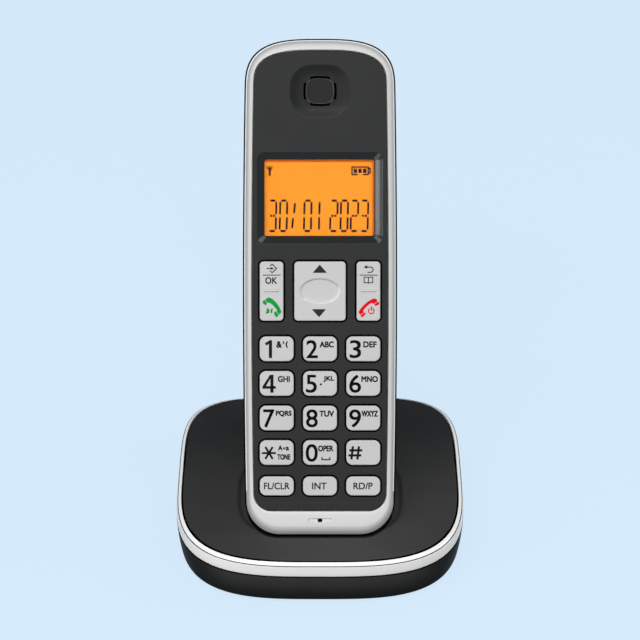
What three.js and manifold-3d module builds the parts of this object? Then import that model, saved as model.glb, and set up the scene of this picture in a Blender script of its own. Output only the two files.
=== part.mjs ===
import * as THREE from "three";
import { mergeVertices } from "three/addons/utils/BufferGeometryUtils.js";
import Module from "manifold-3d";

const wasm = await Module();
wasm.setup();

// A cordless phone: a leaning handset that stands in the pocket of a low charging base.
// Lengths are millimetres. The handset is drawn flat, with its width along X, its length along Y
// and its front face at height zero, and is then leaned back into the pocket.

// Fits
const SEAT_GAP = 0.3;
const KEY_GAP = 0.35;
const POCKET_GAP = 0.6;
const CUT_OVERRUN = 2;

// Handset body
const HANDSET_LENGTH = 157;
const HANDSET_HALF_WIDTH = 24.4;
const BARREL_DROP = 0.6;
const BARREL_CENTRE_SHARE = 0.478;
const BARREL_REACH_SHARE = 0.414;
const BOTTOM_CORNER = 10.6;
const TOP_CORNER = 16.3;
const CORNER_POWER = 3.1;
const REAR_DEPTH = 25;
const REAR_POWER = 3;
const PARTING_DEPTH = 3.4;
const SHELL_WALL = 1.8;
const LEAN_DEGREES = 30;

// Front frame and front cover
const FRAME_SET_BACK = 0.35;
const FRAME_SIDE_WIDTH = 3.05;
const FRAME_TOP_WIDTH = 3.9;
const FRAME_CHIN_HEIGHT = 8.25;
const FRAME_LEDGE = 1.1;
const BEAD_HEIGHT = 0.6;
const BEAD_ROUND = 1.5;
// The bead's rounding: set-in shares of its width against shares of its height.
const BEAD_SHARES = [
  [0, -1.5],
  [0.15, 0],
  [0.5, 0.8],
  [1, 1],
];
const COVER_THICKNESS = 1.6;
const COVER_BOTTOM_CORNER = 5.4;
const COVER_TOP_CORNER = 11;
const MIC_FROM_END = 5.1;
const MIC_SLOT_WIDTH = 7.7;
const MIC_SLOT_HEIGHT = 1.5;
const MIC_SLOT_DEPTH = 0.5;
const MIC_HOLE_RADIUS = 0.6;
const MIC_RADIUS = 2;
const MIC_THICKNESS = 1.5;

// Rows of the handset's face, as shares of its length from the bottom end
const FUNCTION_ROW_SHARE = 0.1025;
const STAR_ROW_SHARE = 0.17;
const ROW_PITCH_SHARE = 0.0697;
const ROCKER_ROW_SHARE = 0.495;
const DISPLAY_ROW_SHARE = 0.682;
const RINGER_ROW_SHARE = 0.815;
const EARPIECE_ROW_SHARE = 0.895;
const FUNCTION_ROW = HANDSET_LENGTH * FUNCTION_ROW_SHARE;
const STAR_ROW = HANDSET_LENGTH * STAR_ROW_SHARE;
const KEY_PITCH_Y = HANDSET_LENGTH * ROW_PITCH_SHARE;
const ROCKER_ROW = HANDSET_LENGTH * ROCKER_ROW_SHARE;
const DISPLAY_CENTRE = HANDSET_LENGTH * DISPLAY_ROW_SHARE;
const RINGER_CENTRE = HANDSET_LENGTH * RINGER_ROW_SHARE;
const EARPIECE_CENTRE = HANDSET_LENGTH * EARPIECE_ROW_SHARE;

// Display
const DISPLAY_WIDTH = 34.8;
const DISPLAY_HEIGHT = 24;
const BEZEL_WIDTH = 39.2;
const BEZEL_HEIGHT = 28.3;
const BEZEL_CORNER = 2.2;
const DISPLAY_CORNER = 0.6;
const BEZEL_DEPTH = 1.3;
const WINDOW_THICKNESS = 0.8;
const WINDOW_LAP = 1.3;
const MODULE_LAP = 2.3;

// Earpiece and ringer
const EAR_DISH_WIDTH = 19;
const EAR_DISH_HEIGHT = 16.5;
const EAR_DISH_CORNER = 7;
const EAR_DISH_DEPTH = 0.8;
const EAR_RING_WIDTH = 10.4;
const EAR_RING_HEIGHT = 9.3;
const EAR_SLOT_WIDTH = 1;
const EAR_SLOT_LENGTH = 5.8;
const EARPIECE_RADIUS = 8.5;
const EARPIECE_THICKNESS = 3.1;
const RINGER_RADIUS = 9;
const RINGER_THICKNESS = 4;
const RINGER_SLOTS = 5;
const RINGER_SLOT_WIDTH = 1.3;
const RINGER_SLOT_PITCH = 3;
const RINGER_SLOT_LENGTH = 13;
const RINGER_SET_BACK = 0.8;

// Keys
const KEY_WIDTH = 10.8;
const KEY_WEB = 2.95;
const KEY_HEIGHT = KEY_PITCH_Y - KEY_WEB;
const KEY_CORNER = 2.2;
const KEY_PITCH_X = 13.65;
const FUNCTION_KEY_HEIGHT = 6.2;
const KEY_PROUD = 0.7;
const KEY_BEVEL = 0.5;
const KEY_FLANGE_LAP = 0.6;
const KEY_FLANGE = 0.8;
const KEY_FLANGE_DROP = 0.3;
const ROCKER_HEIGHT = 18.9;
const ROCKER_WIDTH = 7.65;
const ROCKER_OFFSET = 15.25;
const ROCKER_CORNER = 1.3;
const ROCKER_FLANGE_DROP = 0.9;
const NAV_WIDTH = 16.4;
const NAV_DISH_WIDTH = 12.6;
const NAV_DISH_HEIGHT = 8.2;
const NAV_DISH_DEPTH = 0.5;
const MAT_DEPTH = 4.1;
const MAT_THICKNESS = 1;
const MAT_HALF_WIDTH = 19.8;
const BOARD_THICKNESS = 1.6;
const BOARD_EDGE = 4.2;
const BOARD_FROM_END = 10;
const BOARD_FROM_TOP = 8;

// Battery compartment
const CELL_RADIUS = 5.25;
const CELL_LENGTH = 44.5;
const CELL_SPACING = 11.2;
const CELL_TIP_RADIUS = 2.6;
const CELL_TIP = 0.9;
const RINGER_TO_COMPARTMENT = 4.4;
const COMPARTMENT_FLOOR = 1.2;
const COMPARTMENT_WALL = 3.4;
const CONTACT_THICKNESS = 0.6;
const DOOR_THICKNESS = 1.6;
const DOOR_HALF_WIDTH = 13.5;
const DOOR_LENGTH = 56;
const DOOR_CORNER = 2.5;

// Handset screws and charge pads
const POST_X = 15.5;
const POST_RADIUS = 2.8;
const POST_LENGTH = 10.4;
const PILOT_RADIUS = 1.2;
const BOSS_RADIUS = 3.6;
const HEAD_RADIUS = 2.2;
const HEAD_THICKNESS = 1.3;
const HEAD_DEPTH = 20.8;
const SHANK_RADIUS = 0.9;
const SHANK_LENGTH = 15.5;
const PAD_SPACING = 16;
const PAD_RADIUS = 2.2;
const PAD_LENGTH = 2.2;

// Base
const BASE_HALF_WIDTH = 46.6;
const BASE_HALF_DEPTH = 46.9;
const FRONT_POWER = 3.3;
const BACK_POWER = 4.7;
const BASE_TOP = 16;
const FOOT_PROUD = 1;
const FLOOR_THICKNESS = 1.4;
const LOWER_TOP = 11.2;
const LOWER_WALL = 3.6;
const RING_EDGE = 15.25;
const RING_CHAMFER_INSET = 1.7;
const RING_SIDE_INSET = 0.4;
const RING_WALL = 1.6;
const COVER_INSET = 2;
const TOP_PLATE = 1.8;
const SKIRT_WALL = 1.8;
const TUB_WALL = 1.5;
const LIP_HALF_WIDTH = 26.8;
const LIP_HALF_DEPTH = 22.9;
const LIP_CENTRE = -9.5;
const LIP_POWER = 3.1;
const LIP_DEPTH = 1.2;
const LIP_SLOPE = 1.6;
const HANDSET_END_Y = -31.6;
const HANDSET_END_Z = 15.5;

// Back rest behind the handset
const REST_HALF_WIDTH = 20;
const REST_TOP = 42;
const REST_TOP_FRONT = 10;
const REST_TOP_BACK = 21;
const REST_FROM_BACK = 8.9;
const REST_FOOT_BACK = BASE_HALF_DEPTH - REST_FROM_BACK;
const REST_FOOT_FRONT = -6;
const REST_ROUND = 2.5;
const REST_SHOULDER = 9;

// Base fittings
const CONTACT_WIDTH = 2.4;
const CONTACT_DOME = 1.6;
const CONTACT_FOOT = 10;
const PAD_PLACE_Y = -12.3;
const PAD_PLACE_Z = 7.75;
const TUB_UNDERSIDE = 5.6;
const BOARD_FROM_SIDE = 20.6;
const BOARD_FROM_BACK = 14.9;
const BASE_BOARD_HALF_WIDTH = BASE_HALF_WIDTH - BOARD_FROM_SIDE;
const BASE_BOARD_LENGTH = 20;
const BASE_BOARD_START = BASE_HALF_DEPTH - BOARD_FROM_BACK - BASE_BOARD_LENGTH;
const BASE_BOARD_HEIGHT = 7.2;
const BOARD_POST_RADIUS = 2.5;
const BOARD_POST_INSET = 4;
const SCREW_FROM_SIDE = 9.6;
// Rows of screws, as shares of the base's half depth
const SCREW_ROW_SHARES = [-0.256, 0.384];
const BASE_BOSS_RADIUS = 3.2;
const BASE_BOSS_BOTTOM = 4.9;
const BASE_SCREW_RADIUS = 1.3;
const BASE_SCREW_LENGTH = 8.3;
const BASE_HEAD_RADIUS = 2.4;
const BASE_HEAD_THICKNESS = 1.3;
const BASE_HEAD_BOTTOM = 1.4;
const SCREW_PAD_RADIUS = 4;
const SCREW_PAD_TOP = 4.6;
const FOOT_RADIUS = 4.5;
const FOOT_THICKNESS = 1.5;
const FOOT_RECESS = 0.8;
// Places of the feet, as shares of the base's half width and half depth
const FOOT_PLACE_SHARES = [
  [0.687, -0.661],
  [0.73, 0.704],
];
const LINE_SOCKET = { x: -14, width: 11.6, holeWidth: 9.4, holeHeight: 5.2 };
const POWER_SOCKET = { x: 14, width: 8.8, holeWidth: 6.4, holeHeight: 5 };
const SOCKET_HEIGHT = 7.2;
const SOCKET_LENGTH = 13;
const SOCKET_BACK = 1.4;
const SOCKET_SET_BACK = 0.6;
const BUTTON_WIDTH = 9;
const BUTTON_HEIGHT = 4.6;
const BUTTON_CENTRE = 6.4;
const BUTTON_PROUD = 0.7;
const BUTTON_FLANGE = 0.8;
const BUTTON_FLANGE_THICKNESS = 1;
const BUTTON_STEM = 3;
const BUTTON_STEM_LENGTH = 4;

// Corner radius of a round-ended slot, as a share of its height
const ROUND_END_SHARE = 0.48;
// The earpiece saucer's floor, as a share of its mouth
const DISH_FLOOR_SHARE = 0.72;

// Curve quality
const CORNER_STEPS = 4;
const END_STEPS = 6;
const SIDE_STEPS = 3;
const REAR_STEPS = 6;
const BASE_STEPS = 12;
const ROUND_STEPS = 20;
const FINE_STEPS = 12;

// Finishes
const blackPlastic = { color: 0x2b2b2b, roughness: 0.45, metalness: 0 };
const silverPlastic = { color: 0xcfcfcf, roughness: 0.3, metalness: 0.3 };
const keyPlastic = { color: 0xcbcbcb, roughness: 0.5, metalness: 0 };
const brightMetal = { color: 0xd8c48a, roughness: 0.3, metalness: 1 };
const steel = { color: 0xb8bcc0, roughness: 0.35, metalness: 1 };
const boardGreen = { color: 0x1f6b3a, roughness: 0.6, metalness: 0 };
const rubber = { color: 0x3a3a3c, roughness: 0.9, metalness: 0 };
const displayOrange = { color: 0xfaa02d, roughness: 0.4, metalness: 0 };
const clearPlastic = { color: 0xf4f6f8, roughness: 0.1, metalness: 0 };
const cellWrap = { color: 0x3f8f55, roughness: 0.4, metalness: 0.2 };

const phone = new THREE.Group();
const handset = new THREE.Group();
const root = new THREE.Group();

// A closed geometry as a solid that can be cut and joined.
function solid(geometry) {
  const bare = geometry.clone();
  bare.deleteAttribute("normal");
  bare.deleteAttribute("uv");
  const merged = mergeVertices(bare, 1e-4);
  return new wasm.Manifold(
    new wasm.Mesh({
      numProp: 3,
      vertProperties: new Float32Array(merged.attributes.position.array),
      triVerts: new Uint32Array(merged.index.array),
    }),
  );
}

// A solid back as a geometry.
function geometryOf(body) {
  const mesh = body.getMesh();
  const geometry = new THREE.BufferGeometry();
  geometry.setAttribute("position", new THREE.BufferAttribute(new Float32Array(mesh.vertProperties), 3));
  geometry.setIndex(new THREE.BufferAttribute(new Uint32Array(mesh.triVerts), 1));
  return geometry;
}

function addPiece(group, name, body, finish) {
  const geometry = geometryOf(body);
  geometry.computeVertexNormals();
  const mesh = new THREE.Mesh(geometry, new THREE.MeshStandardMaterial(finish));
  mesh.name = name;
  group.add(mesh);
  return mesh;
}

// Rings of points, each at its own height, anticlockwise from above, joined into one closed solid.
function loft(rings) {
  const count = rings[0].points.length;
  const positions = [];
  const index = [];
  for (const ring of rings) {
    for (const point of ring.points) positions.push(point.x, point.y, ring.height);
  }
  for (let r = 0; r < rings.length - 1; r += 1) {
    for (let i = 0; i < count; i += 1) {
      const next = (i + 1) % count;
      const low = r * count;
      const high = low + count;
      index.push(low + i, low + next, high + next);
      index.push(low + i, high + next, high + i);
    }
  }
  const last = (rings.length - 1) * count;
  for (const [a, b, c] of THREE.ShapeUtils.triangulateShape(rings[0].points, [])) index.push(a, c, b);
  for (const [a, b, c] of THREE.ShapeUtils.triangulateShape(rings.at(-1).points, [])) {
    index.push(last + a, last + b, last + c);
  }
  const geometry = new THREE.BufferGeometry();
  geometry.setAttribute("position", new THREE.Float32BufferAttribute(positions, 3));
  geometry.setIndex(index);
  return solid(geometry);
}

function prism(points, low, high) {
  return loft([
    { points, height: low },
    { points, height: high },
  ]);
}

// A rectangle with rounded corners about a centre, as points.
function roundedPoints(width, height, corner, centreX, centreY, steps = CORNER_STEPS) {
  const points = [];
  const x = width / 2 - corner;
  const y = height / 2 - corner;
  const corners = [
    [x, -y, -Math.PI / 2],
    [x, y, 0],
    [-x, y, Math.PI / 2],
    [-x, -y, Math.PI],
  ];
  for (const [cx, cy, start] of corners) {
    for (let i = 0; i <= steps; i += 1) {
      const angle = start + (Math.PI / 2) * (i / steps);
      points.push(
        new THREE.Vector2(centreX + cx + corner * Math.cos(angle), centreY + cy + corner * Math.sin(angle)),
      );
    }
  }
  return points;
}

function block(x0, x1, y0, y1, z0, z1) {
  const geometry = new THREE.BoxGeometry(x1 - x0, y1 - y0, z1 - z0);
  geometry.translate((x0 + x1) / 2, (y0 + y1) / 2, (z0 + z1) / 2);
  return solid(geometry);
}

// An upright round bar from one height to another.
function bar(radius, x, y, low, high, steps = ROUND_STEPS) {
  const geometry = new THREE.CylinderGeometry(radius, radius, high - low, steps);
  geometry.rotateX(Math.PI / 2);
  geometry.translate(x, y, (low + high) / 2);
  return solid(geometry);
}

// A side profile, drawn as depth against height, carried across the width.
function crosswise(shape, halfWidth, centreX) {
  const geometry = new THREE.ExtrudeGeometry(shape, {
    depth: 2 * halfWidth,
    bevelEnabled: false,
    curveSegments: CORNER_STEPS,
  });
  geometry.translate(0, 0, -halfWidth);
  geometry.applyMatrix4(
    new THREE.Matrix4().makeBasis(
      new THREE.Vector3(0, 1, 0),
      new THREE.Vector3(0, 0, 1),
      new THREE.Vector3(1, 0, 0),
    ),
  );
  geometry.translate(centreX, 0, 0);
  return solid(geometry);
}

const joined = (bodies) => bodies.reduce((whole, body) => whole.add(body));
const without = (body, cuts) => cuts.reduce((left, cut) => left.subtract(cut), body);

// Half width of the handset, a little fuller at the middle of its length.
function barrel(along) {
  const share = (along / HANDSET_LENGTH - BARREL_CENTRE_SHARE) / BARREL_REACH_SHARE;
  return HANDSET_HALF_WIDTH - BARREL_DROP * share * share;
}

// An outline of the handset's own kind, set in from its side, with its two ends and corner lengths.
// Its lower corners are round, and its upper end is one arch, a superellipse.
function handsetOutline(inset, bottom, top, bottomCorner, topCorner) {
  const side = [new THREE.Vector2(0, bottom)];
  for (let i = 0; i <= END_STEPS; i += 1) {
    const angle = (Math.PI / 2) * (i / END_STEPS);
    const along = bottom + bottomCorner * (1 - Math.cos(angle));
    const reach = barrel(along) - inset - bottomCorner * (1 - Math.sin(angle));
    side.push(new THREE.Vector2(reach, along));
  }
  const straightStart = bottom + bottomCorner;
  const straightEnd = top - topCorner;
  for (let i = 1; i < SIDE_STEPS; i += 1) {
    const along = straightStart + (straightEnd - straightStart) * (i / SIDE_STEPS);
    side.push(new THREE.Vector2(barrel(along) - inset, along));
  }
  for (let i = END_STEPS; i >= 0; i -= 1) {
    const angle = (Math.PI / 2) * (i / END_STEPS);
    const across = Math.sin(angle) ** (2 / CORNER_POWER);
    const along = top - topCorner * (1 - Math.cos(angle) ** (2 / CORNER_POWER));
    side.push(new THREE.Vector2(across * (barrel(along) - inset), along));
  }
  const mirrored = side.slice(1, -1).reverse();
  return [...side, ...mirrored.map((point) => new THREE.Vector2(-point.x, point.y))];
}

function shellOutline(inset) {
  const left = 1 - inset / HANDSET_HALF_WIDTH;
  return handsetOutline(inset, inset, HANDSET_LENGTH - inset, BOTTOM_CORNER * left, TOP_CORNER * left);
}

// The rounded back of the handset, offset inwards, and carried up past the front where asked.
function backForm(offset, front) {
  const rings = [];
  for (let i = REAR_STEPS; i >= 0; i -= 1) {
    const angle = (Math.PI / 2) * (i / (REAR_STEPS + 1 / 2));
    const reach = HANDSET_HALF_WIDTH - offset;
    const inset = offset + reach * (1 - Math.cos(angle) ** (2 / REAR_POWER));
    const depth = (REAR_DEPTH - offset) * Math.sin(angle) ** (2 / REAR_POWER);
    rings.push({ points: shellOutline(inset), height: -PARTING_DEPTH - depth });
  }
  if (front > -PARTING_DEPTH) rings.push({ points: shellOutline(offset), height: front });
  return loft(rings);
}

// The front cover's outline, set in further by a margin.
function coverOutline(margin) {
  return handsetOutline(
    FRAME_SIDE_WIDTH + margin,
    FRAME_CHIN_HEIGHT + margin,
    HANDSET_LENGTH - FRAME_TOP_WIDTH - margin,
    COVER_BOTTOM_CORNER - margin,
    COVER_TOP_CORNER - margin,
  );
}

// Places of the keys
const KEY_COLUMNS = [-KEY_PITCH_X, 0, KEY_PITCH_X];
const KEY_ROWS = [
  ["key_1", "key_2", "key_3"],
  ["key_4", "key_5", "key_6"],
  ["key_7", "key_8", "key_9"],
  ["key_star", "key_0", "key_hash"],
];
const FUNCTION_KEYS = ["key_flash", "key_intercom", "key_redial"];
const keyPlaces = [];
KEY_ROWS.forEach((names, row) => {
  names.forEach((name, column) => {
    keyPlaces.push({
      name,
      x: KEY_COLUMNS[column],
      y: STAR_ROW + KEY_PITCH_Y * (KEY_ROWS.length - 1 - row),
      width: KEY_WIDTH,
      height: KEY_HEIGHT,
      corner: KEY_CORNER,
      drop: KEY_FLANGE_DROP,
    });
  });
});
FUNCTION_KEYS.forEach((name, column) => {
  keyPlaces.push({
    name,
    x: KEY_COLUMNS[column],
    y: FUNCTION_ROW,
    width: KEY_WIDTH,
    height: FUNCTION_KEY_HEIGHT,
    corner: KEY_CORNER,
    drop: KEY_FLANGE_DROP,
  });
});
for (const [name, x, width] of [
  ["talk_rocker_key", -ROCKER_OFFSET, ROCKER_WIDTH],
  ["navigation_key", 0, NAV_WIDTH],
  ["end_rocker_key", ROCKER_OFFSET, ROCKER_WIDTH],
]) {
  keyPlaces.push({
    name,
    x,
    y: ROCKER_ROW,
    width,
    height: ROCKER_HEIGHT,
    corner: ROCKER_CORNER,
    drop: ROCKER_FLANGE_DROP,
  });
}

function keyOutline(key, grow) {
  return roundedPoints(key.width + 2 * grow, key.height + 2 * grow, key.corner + grow, key.x, key.y);
}

// Screw posts of the handset stand beside the ringer.
const POSTS = [-POST_X, POST_X];

function buildFrontCover() {
  const plate = prism(coverOutline(0), -COVER_THICKNESS, 0);
  const posts = POSTS.map((x) =>
    bar(POST_RADIUS, x, RINGER_CENTRE, -COVER_THICKNESS - POST_LENGTH, -COVER_THICKNESS / 2, FINE_STEPS),
  );
  const cuts = keyPlaces.map((key) => prism(keyOutline(key, KEY_GAP), -COVER_THICKNESS * 2, CUT_OVERRUN));
  cuts.push(
    prism(
      roundedPoints(DISPLAY_WIDTH, DISPLAY_HEIGHT, DISPLAY_CORNER, 0, DISPLAY_CENTRE),
      -COVER_THICKNESS * 2,
      CUT_OVERRUN,
    ),
  );
  const flare = 1 + CUT_OVERRUN / BEZEL_DEPTH;
  const flaredWidth = DISPLAY_WIDTH + (BEZEL_WIDTH - DISPLAY_WIDTH) * flare;
  const flaredHeight = DISPLAY_HEIGHT + (BEZEL_HEIGHT - DISPLAY_HEIGHT) * flare;
  const flaredCorner = DISPLAY_CORNER + (BEZEL_CORNER - DISPLAY_CORNER) * flare;
  cuts.push(
    loft([
      {
        points: roundedPoints(DISPLAY_WIDTH, DISPLAY_HEIGHT, DISPLAY_CORNER, 0, DISPLAY_CENTRE),
        height: -BEZEL_DEPTH,
      },
      {
        points: roundedPoints(flaredWidth, flaredHeight, flaredCorner, 0, DISPLAY_CENTRE),
        height: CUT_OVERRUN,
      },
    ]),
  );
  cuts.push(earDish());
  cuts.push(...earSlots());
  cuts.push(
    ...POSTS.map((x) =>
      bar(
        PILOT_RADIUS,
        x,
        RINGER_CENTRE,
        -COVER_THICKNESS - POST_LENGTH - CUT_OVERRUN,
        -COVER_THICKNESS - PILOT_RADIUS,
        FINE_STEPS,
      ),
    ),
  );
  return without(joined([plate, ...posts]), cuts);
}

// A shallow saucer that narrows towards its floor.
function earDish() {
  const flare = 1 + CUT_OVERRUN / EAR_DISH_DEPTH;
  const grow = (size) => size * (DISH_FLOOR_SHARE + (1 - DISH_FLOOR_SHARE) * flare);
  return loft([
    {
      points: roundedPoints(
        EAR_DISH_WIDTH * DISH_FLOOR_SHARE,
        EAR_DISH_HEIGHT * DISH_FLOOR_SHARE,
        EAR_DISH_CORNER * DISH_FLOOR_SHARE,
        0,
        EARPIECE_CENTRE,
      ),
      height: -EAR_DISH_DEPTH,
    },
    {
      points: roundedPoints(
        grow(EAR_DISH_WIDTH),
        grow(EAR_DISH_HEIGHT),
        grow(EAR_DISH_CORNER),
        0,
        EARPIECE_CENTRE,
      ),
      height: CUT_OVERRUN,
    },
  ]);
}

// Four slots on the sides of the earpiece ring.
function earSlots() {
  const slots = [];
  for (const side of [-1, 1]) {
    const x = side * (EAR_RING_WIDTH / 2 - EAR_SLOT_WIDTH / 2);
    const y = EARPIECE_CENTRE + side * (EAR_RING_HEIGHT / 2 - EAR_SLOT_WIDTH / 2);
    const half = EAR_SLOT_WIDTH / 2;
    const reach = EAR_SLOT_LENGTH / 2;
    const middle = EARPIECE_CENTRE;
    slots.push(block(x - half, x + half, middle - reach, middle + reach, -COVER_THICKNESS * 2, 0));
    slots.push(block(-reach, reach, y - half, y + half, -COVER_THICKNESS * 2, 0));
  }
  return slots;
}

// The silver frame: a rounded bead round the front cover, with a ledge that the cover lies on.
function buildFrame() {
  const side = FRAME_SET_BACK;
  const body = loft([
    { points: shellOutline(side), height: -PARTING_DEPTH + SEAT_GAP },
    ...BEAD_SHARES.map(([insetShare, heightShare]) => ({
      points: shellOutline(side + BEAD_ROUND * insetShare),
      height: BEAD_HEIGHT * heightShare,
    })),
  ]);
  const micRound = MIC_SLOT_HEIGHT * ROUND_END_SHARE;
  const mic = roundedPoints(MIC_SLOT_WIDTH, MIC_SLOT_HEIGHT, micRound, 0, MIC_FROM_END);
  return without(body, [
    prism(coverOutline(-SEAT_GAP), -COVER_THICKNESS - SEAT_GAP, CUT_OVERRUN),
    prism(coverOutline(FRAME_LEDGE), -PARTING_DEPTH * 2, CUT_OVERRUN),
    prism(mic, BEAD_HEIGHT - MIC_SLOT_DEPTH, CUT_OVERRUN),
    bar(MIC_HOLE_RADIUS, 0, MIC_FROM_END, -PARTING_DEPTH * 2, CUT_OVERRUN, FINE_STEPS),
  ]);
}

// Battery compartment, below the ringer
const COMPARTMENT_HALF_LENGTH = DOOR_LENGTH / 2 + SEAT_GAP + SHELL_WALL;
const COMPARTMENT_END = RINGER_CENTRE - RINGER_RADIUS - RINGER_TO_COMPARTMENT;
const COMPARTMENT_CENTRE = COMPARTMENT_END - COMPARTMENT_HALF_LENGTH;
const CONTACT_SLOT = CONTACT_THICKNESS + 2 * SEAT_GAP;
const POCKET_LENGTH = CELL_LENGTH + 2 * CONTACT_SLOT;
const POCKET_HALF_WIDTH = CELL_SPACING / 2 + CELL_RADIUS + SEAT_GAP;
const REAR_FACE = PARTING_DEPTH + REAR_DEPTH;
const CELL_AXIS_DEPTH = REAR_FACE - DOOR_THICKNESS - 2 * SEAT_GAP - CELL_RADIUS;
const POCKET_FLOOR_DEPTH = CELL_AXIS_DEPTH - CELL_RADIUS - SEAT_GAP;

function doorPrism(grow) {
  return prism(
    roundedPoints(
      2 * (DOOR_HALF_WIDTH + grow),
      DOOR_LENGTH + 2 * grow,
      DOOR_CORNER + grow,
      0,
      COMPARTMENT_CENTRE,
    ),
    -REAR_FACE - CUT_OVERRUN,
    -POCKET_FLOOR_DEPTH,
  );
}

function buildRearCover() {
  const halfWidth = POCKET_HALF_WIDTH + COMPARTMENT_WALL;
  const housing = block(
    -halfWidth,
    halfWidth,
    COMPARTMENT_CENTRE - COMPARTMENT_HALF_LENGTH,
    COMPARTMENT_END,
    -REAR_FACE - CUT_OVERRUN,
    -POCKET_FLOOR_DEPTH + COMPARTMENT_FLOOR,
  );
  const bossTop = -COVER_THICKNESS - POST_LENGTH - SEAT_GAP;
  const bosses = POSTS.map((x) => bar(BOSS_RADIUS, x, RINGER_CENTRE, -REAR_FACE, bossTop, FINE_STEPS));
  const hollow = without(backForm(SHELL_WALL, CUT_OVERRUN), [housing, ...bosses]);
  const slots = [];
  for (let i = 0; i < RINGER_SLOTS; i += 1) {
    const row = i - (RINGER_SLOTS - 1) / 2;
    const y = RINGER_CENTRE + row * RINGER_SLOT_PITCH;
    const reach = Math.sqrt(1 - (row / RINGER_SLOTS) ** 2) * (RINGER_SLOT_LENGTH / 2);
    const half = RINGER_SLOT_WIDTH / 2;
    const low = -REAR_FACE - CUT_OVERRUN;
    slots.push(block(-reach, reach, y - half, y + half, low, -REAR_FACE + SHELL_WALL * 2));
  }
  const cuts = [
    hollow,
    block(
      -POCKET_HALF_WIDTH,
      POCKET_HALF_WIDTH,
      COMPARTMENT_CENTRE - POCKET_LENGTH / 2,
      COMPARTMENT_CENTRE + POCKET_LENGTH / 2,
      -REAR_FACE - CUT_OVERRUN,
      -POCKET_FLOOR_DEPTH,
    ),
    doorPrism(SEAT_GAP).subtract(backForm(DOOR_THICKNESS + SEAT_GAP, CUT_OVERRUN)),
    ...slots,
  ];
  for (const x of POSTS) {
    const sink = HEAD_RADIUS + SEAT_GAP;
    cuts.push(bar(sink, x, RINGER_CENTRE, -REAR_FACE - CUT_OVERRUN, -HEAD_DEPTH + SEAT_GAP, FINE_STEPS));
    const hole = SHANK_RADIUS + SEAT_GAP;
    cuts.push(bar(hole, x, RINGER_CENTRE, -REAR_FACE, bossTop + CUT_OVERRUN, FINE_STEPS));
  }
  for (const side of [-1, 1]) {
    cuts.push(
      uprightInHandset(
        bar(
          PAD_RADIUS + SEAT_GAP,
          (side * PAD_SPACING) / 2,
          PAD_PLACE_Y,
          PAD_PLACE_Z - CUT_OVERRUN,
          PAD_PLACE_Z + PAD_LENGTH + CUT_OVERRUN,
        ),
      ),
    );
  }
  return without(backForm(0, -PARTING_DEPTH), cuts);
}

// How the handset stands in the base, and a way to bring a shape from the base's frame to its own.
handset.position.set(0, HANDSET_END_Y, HANDSET_END_Z);
handset.rotation.x = THREE.MathUtils.degToRad(90 - LEAN_DEGREES);
handset.updateMatrix();
const intoHandset = handset.matrix.clone().invert();

function uprightInHandset(body) {
  const geometry = geometryOf(body);
  geometry.applyMatrix4(intoHandset);
  return solid(geometry);
}

function leaned(body) {
  const geometry = geometryOf(body);
  geometry.applyMatrix4(handset.matrix);
  return solid(geometry);
}

function buildKey(key) {
  const flangeTop = -COVER_THICKNESS - key.drop;
  return loft([
    { points: keyOutline(key, KEY_FLANGE_LAP), height: flangeTop - KEY_FLANGE },
    { points: keyOutline(key, KEY_FLANGE_LAP), height: flangeTop },
    { points: keyOutline(key, 0), height: flangeTop },
    { points: keyOutline(key, 0), height: KEY_PROUD - KEY_BEVEL },
    { points: keyOutline(key, -KEY_BEVEL), height: KEY_PROUD },
  ]);
}

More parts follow.
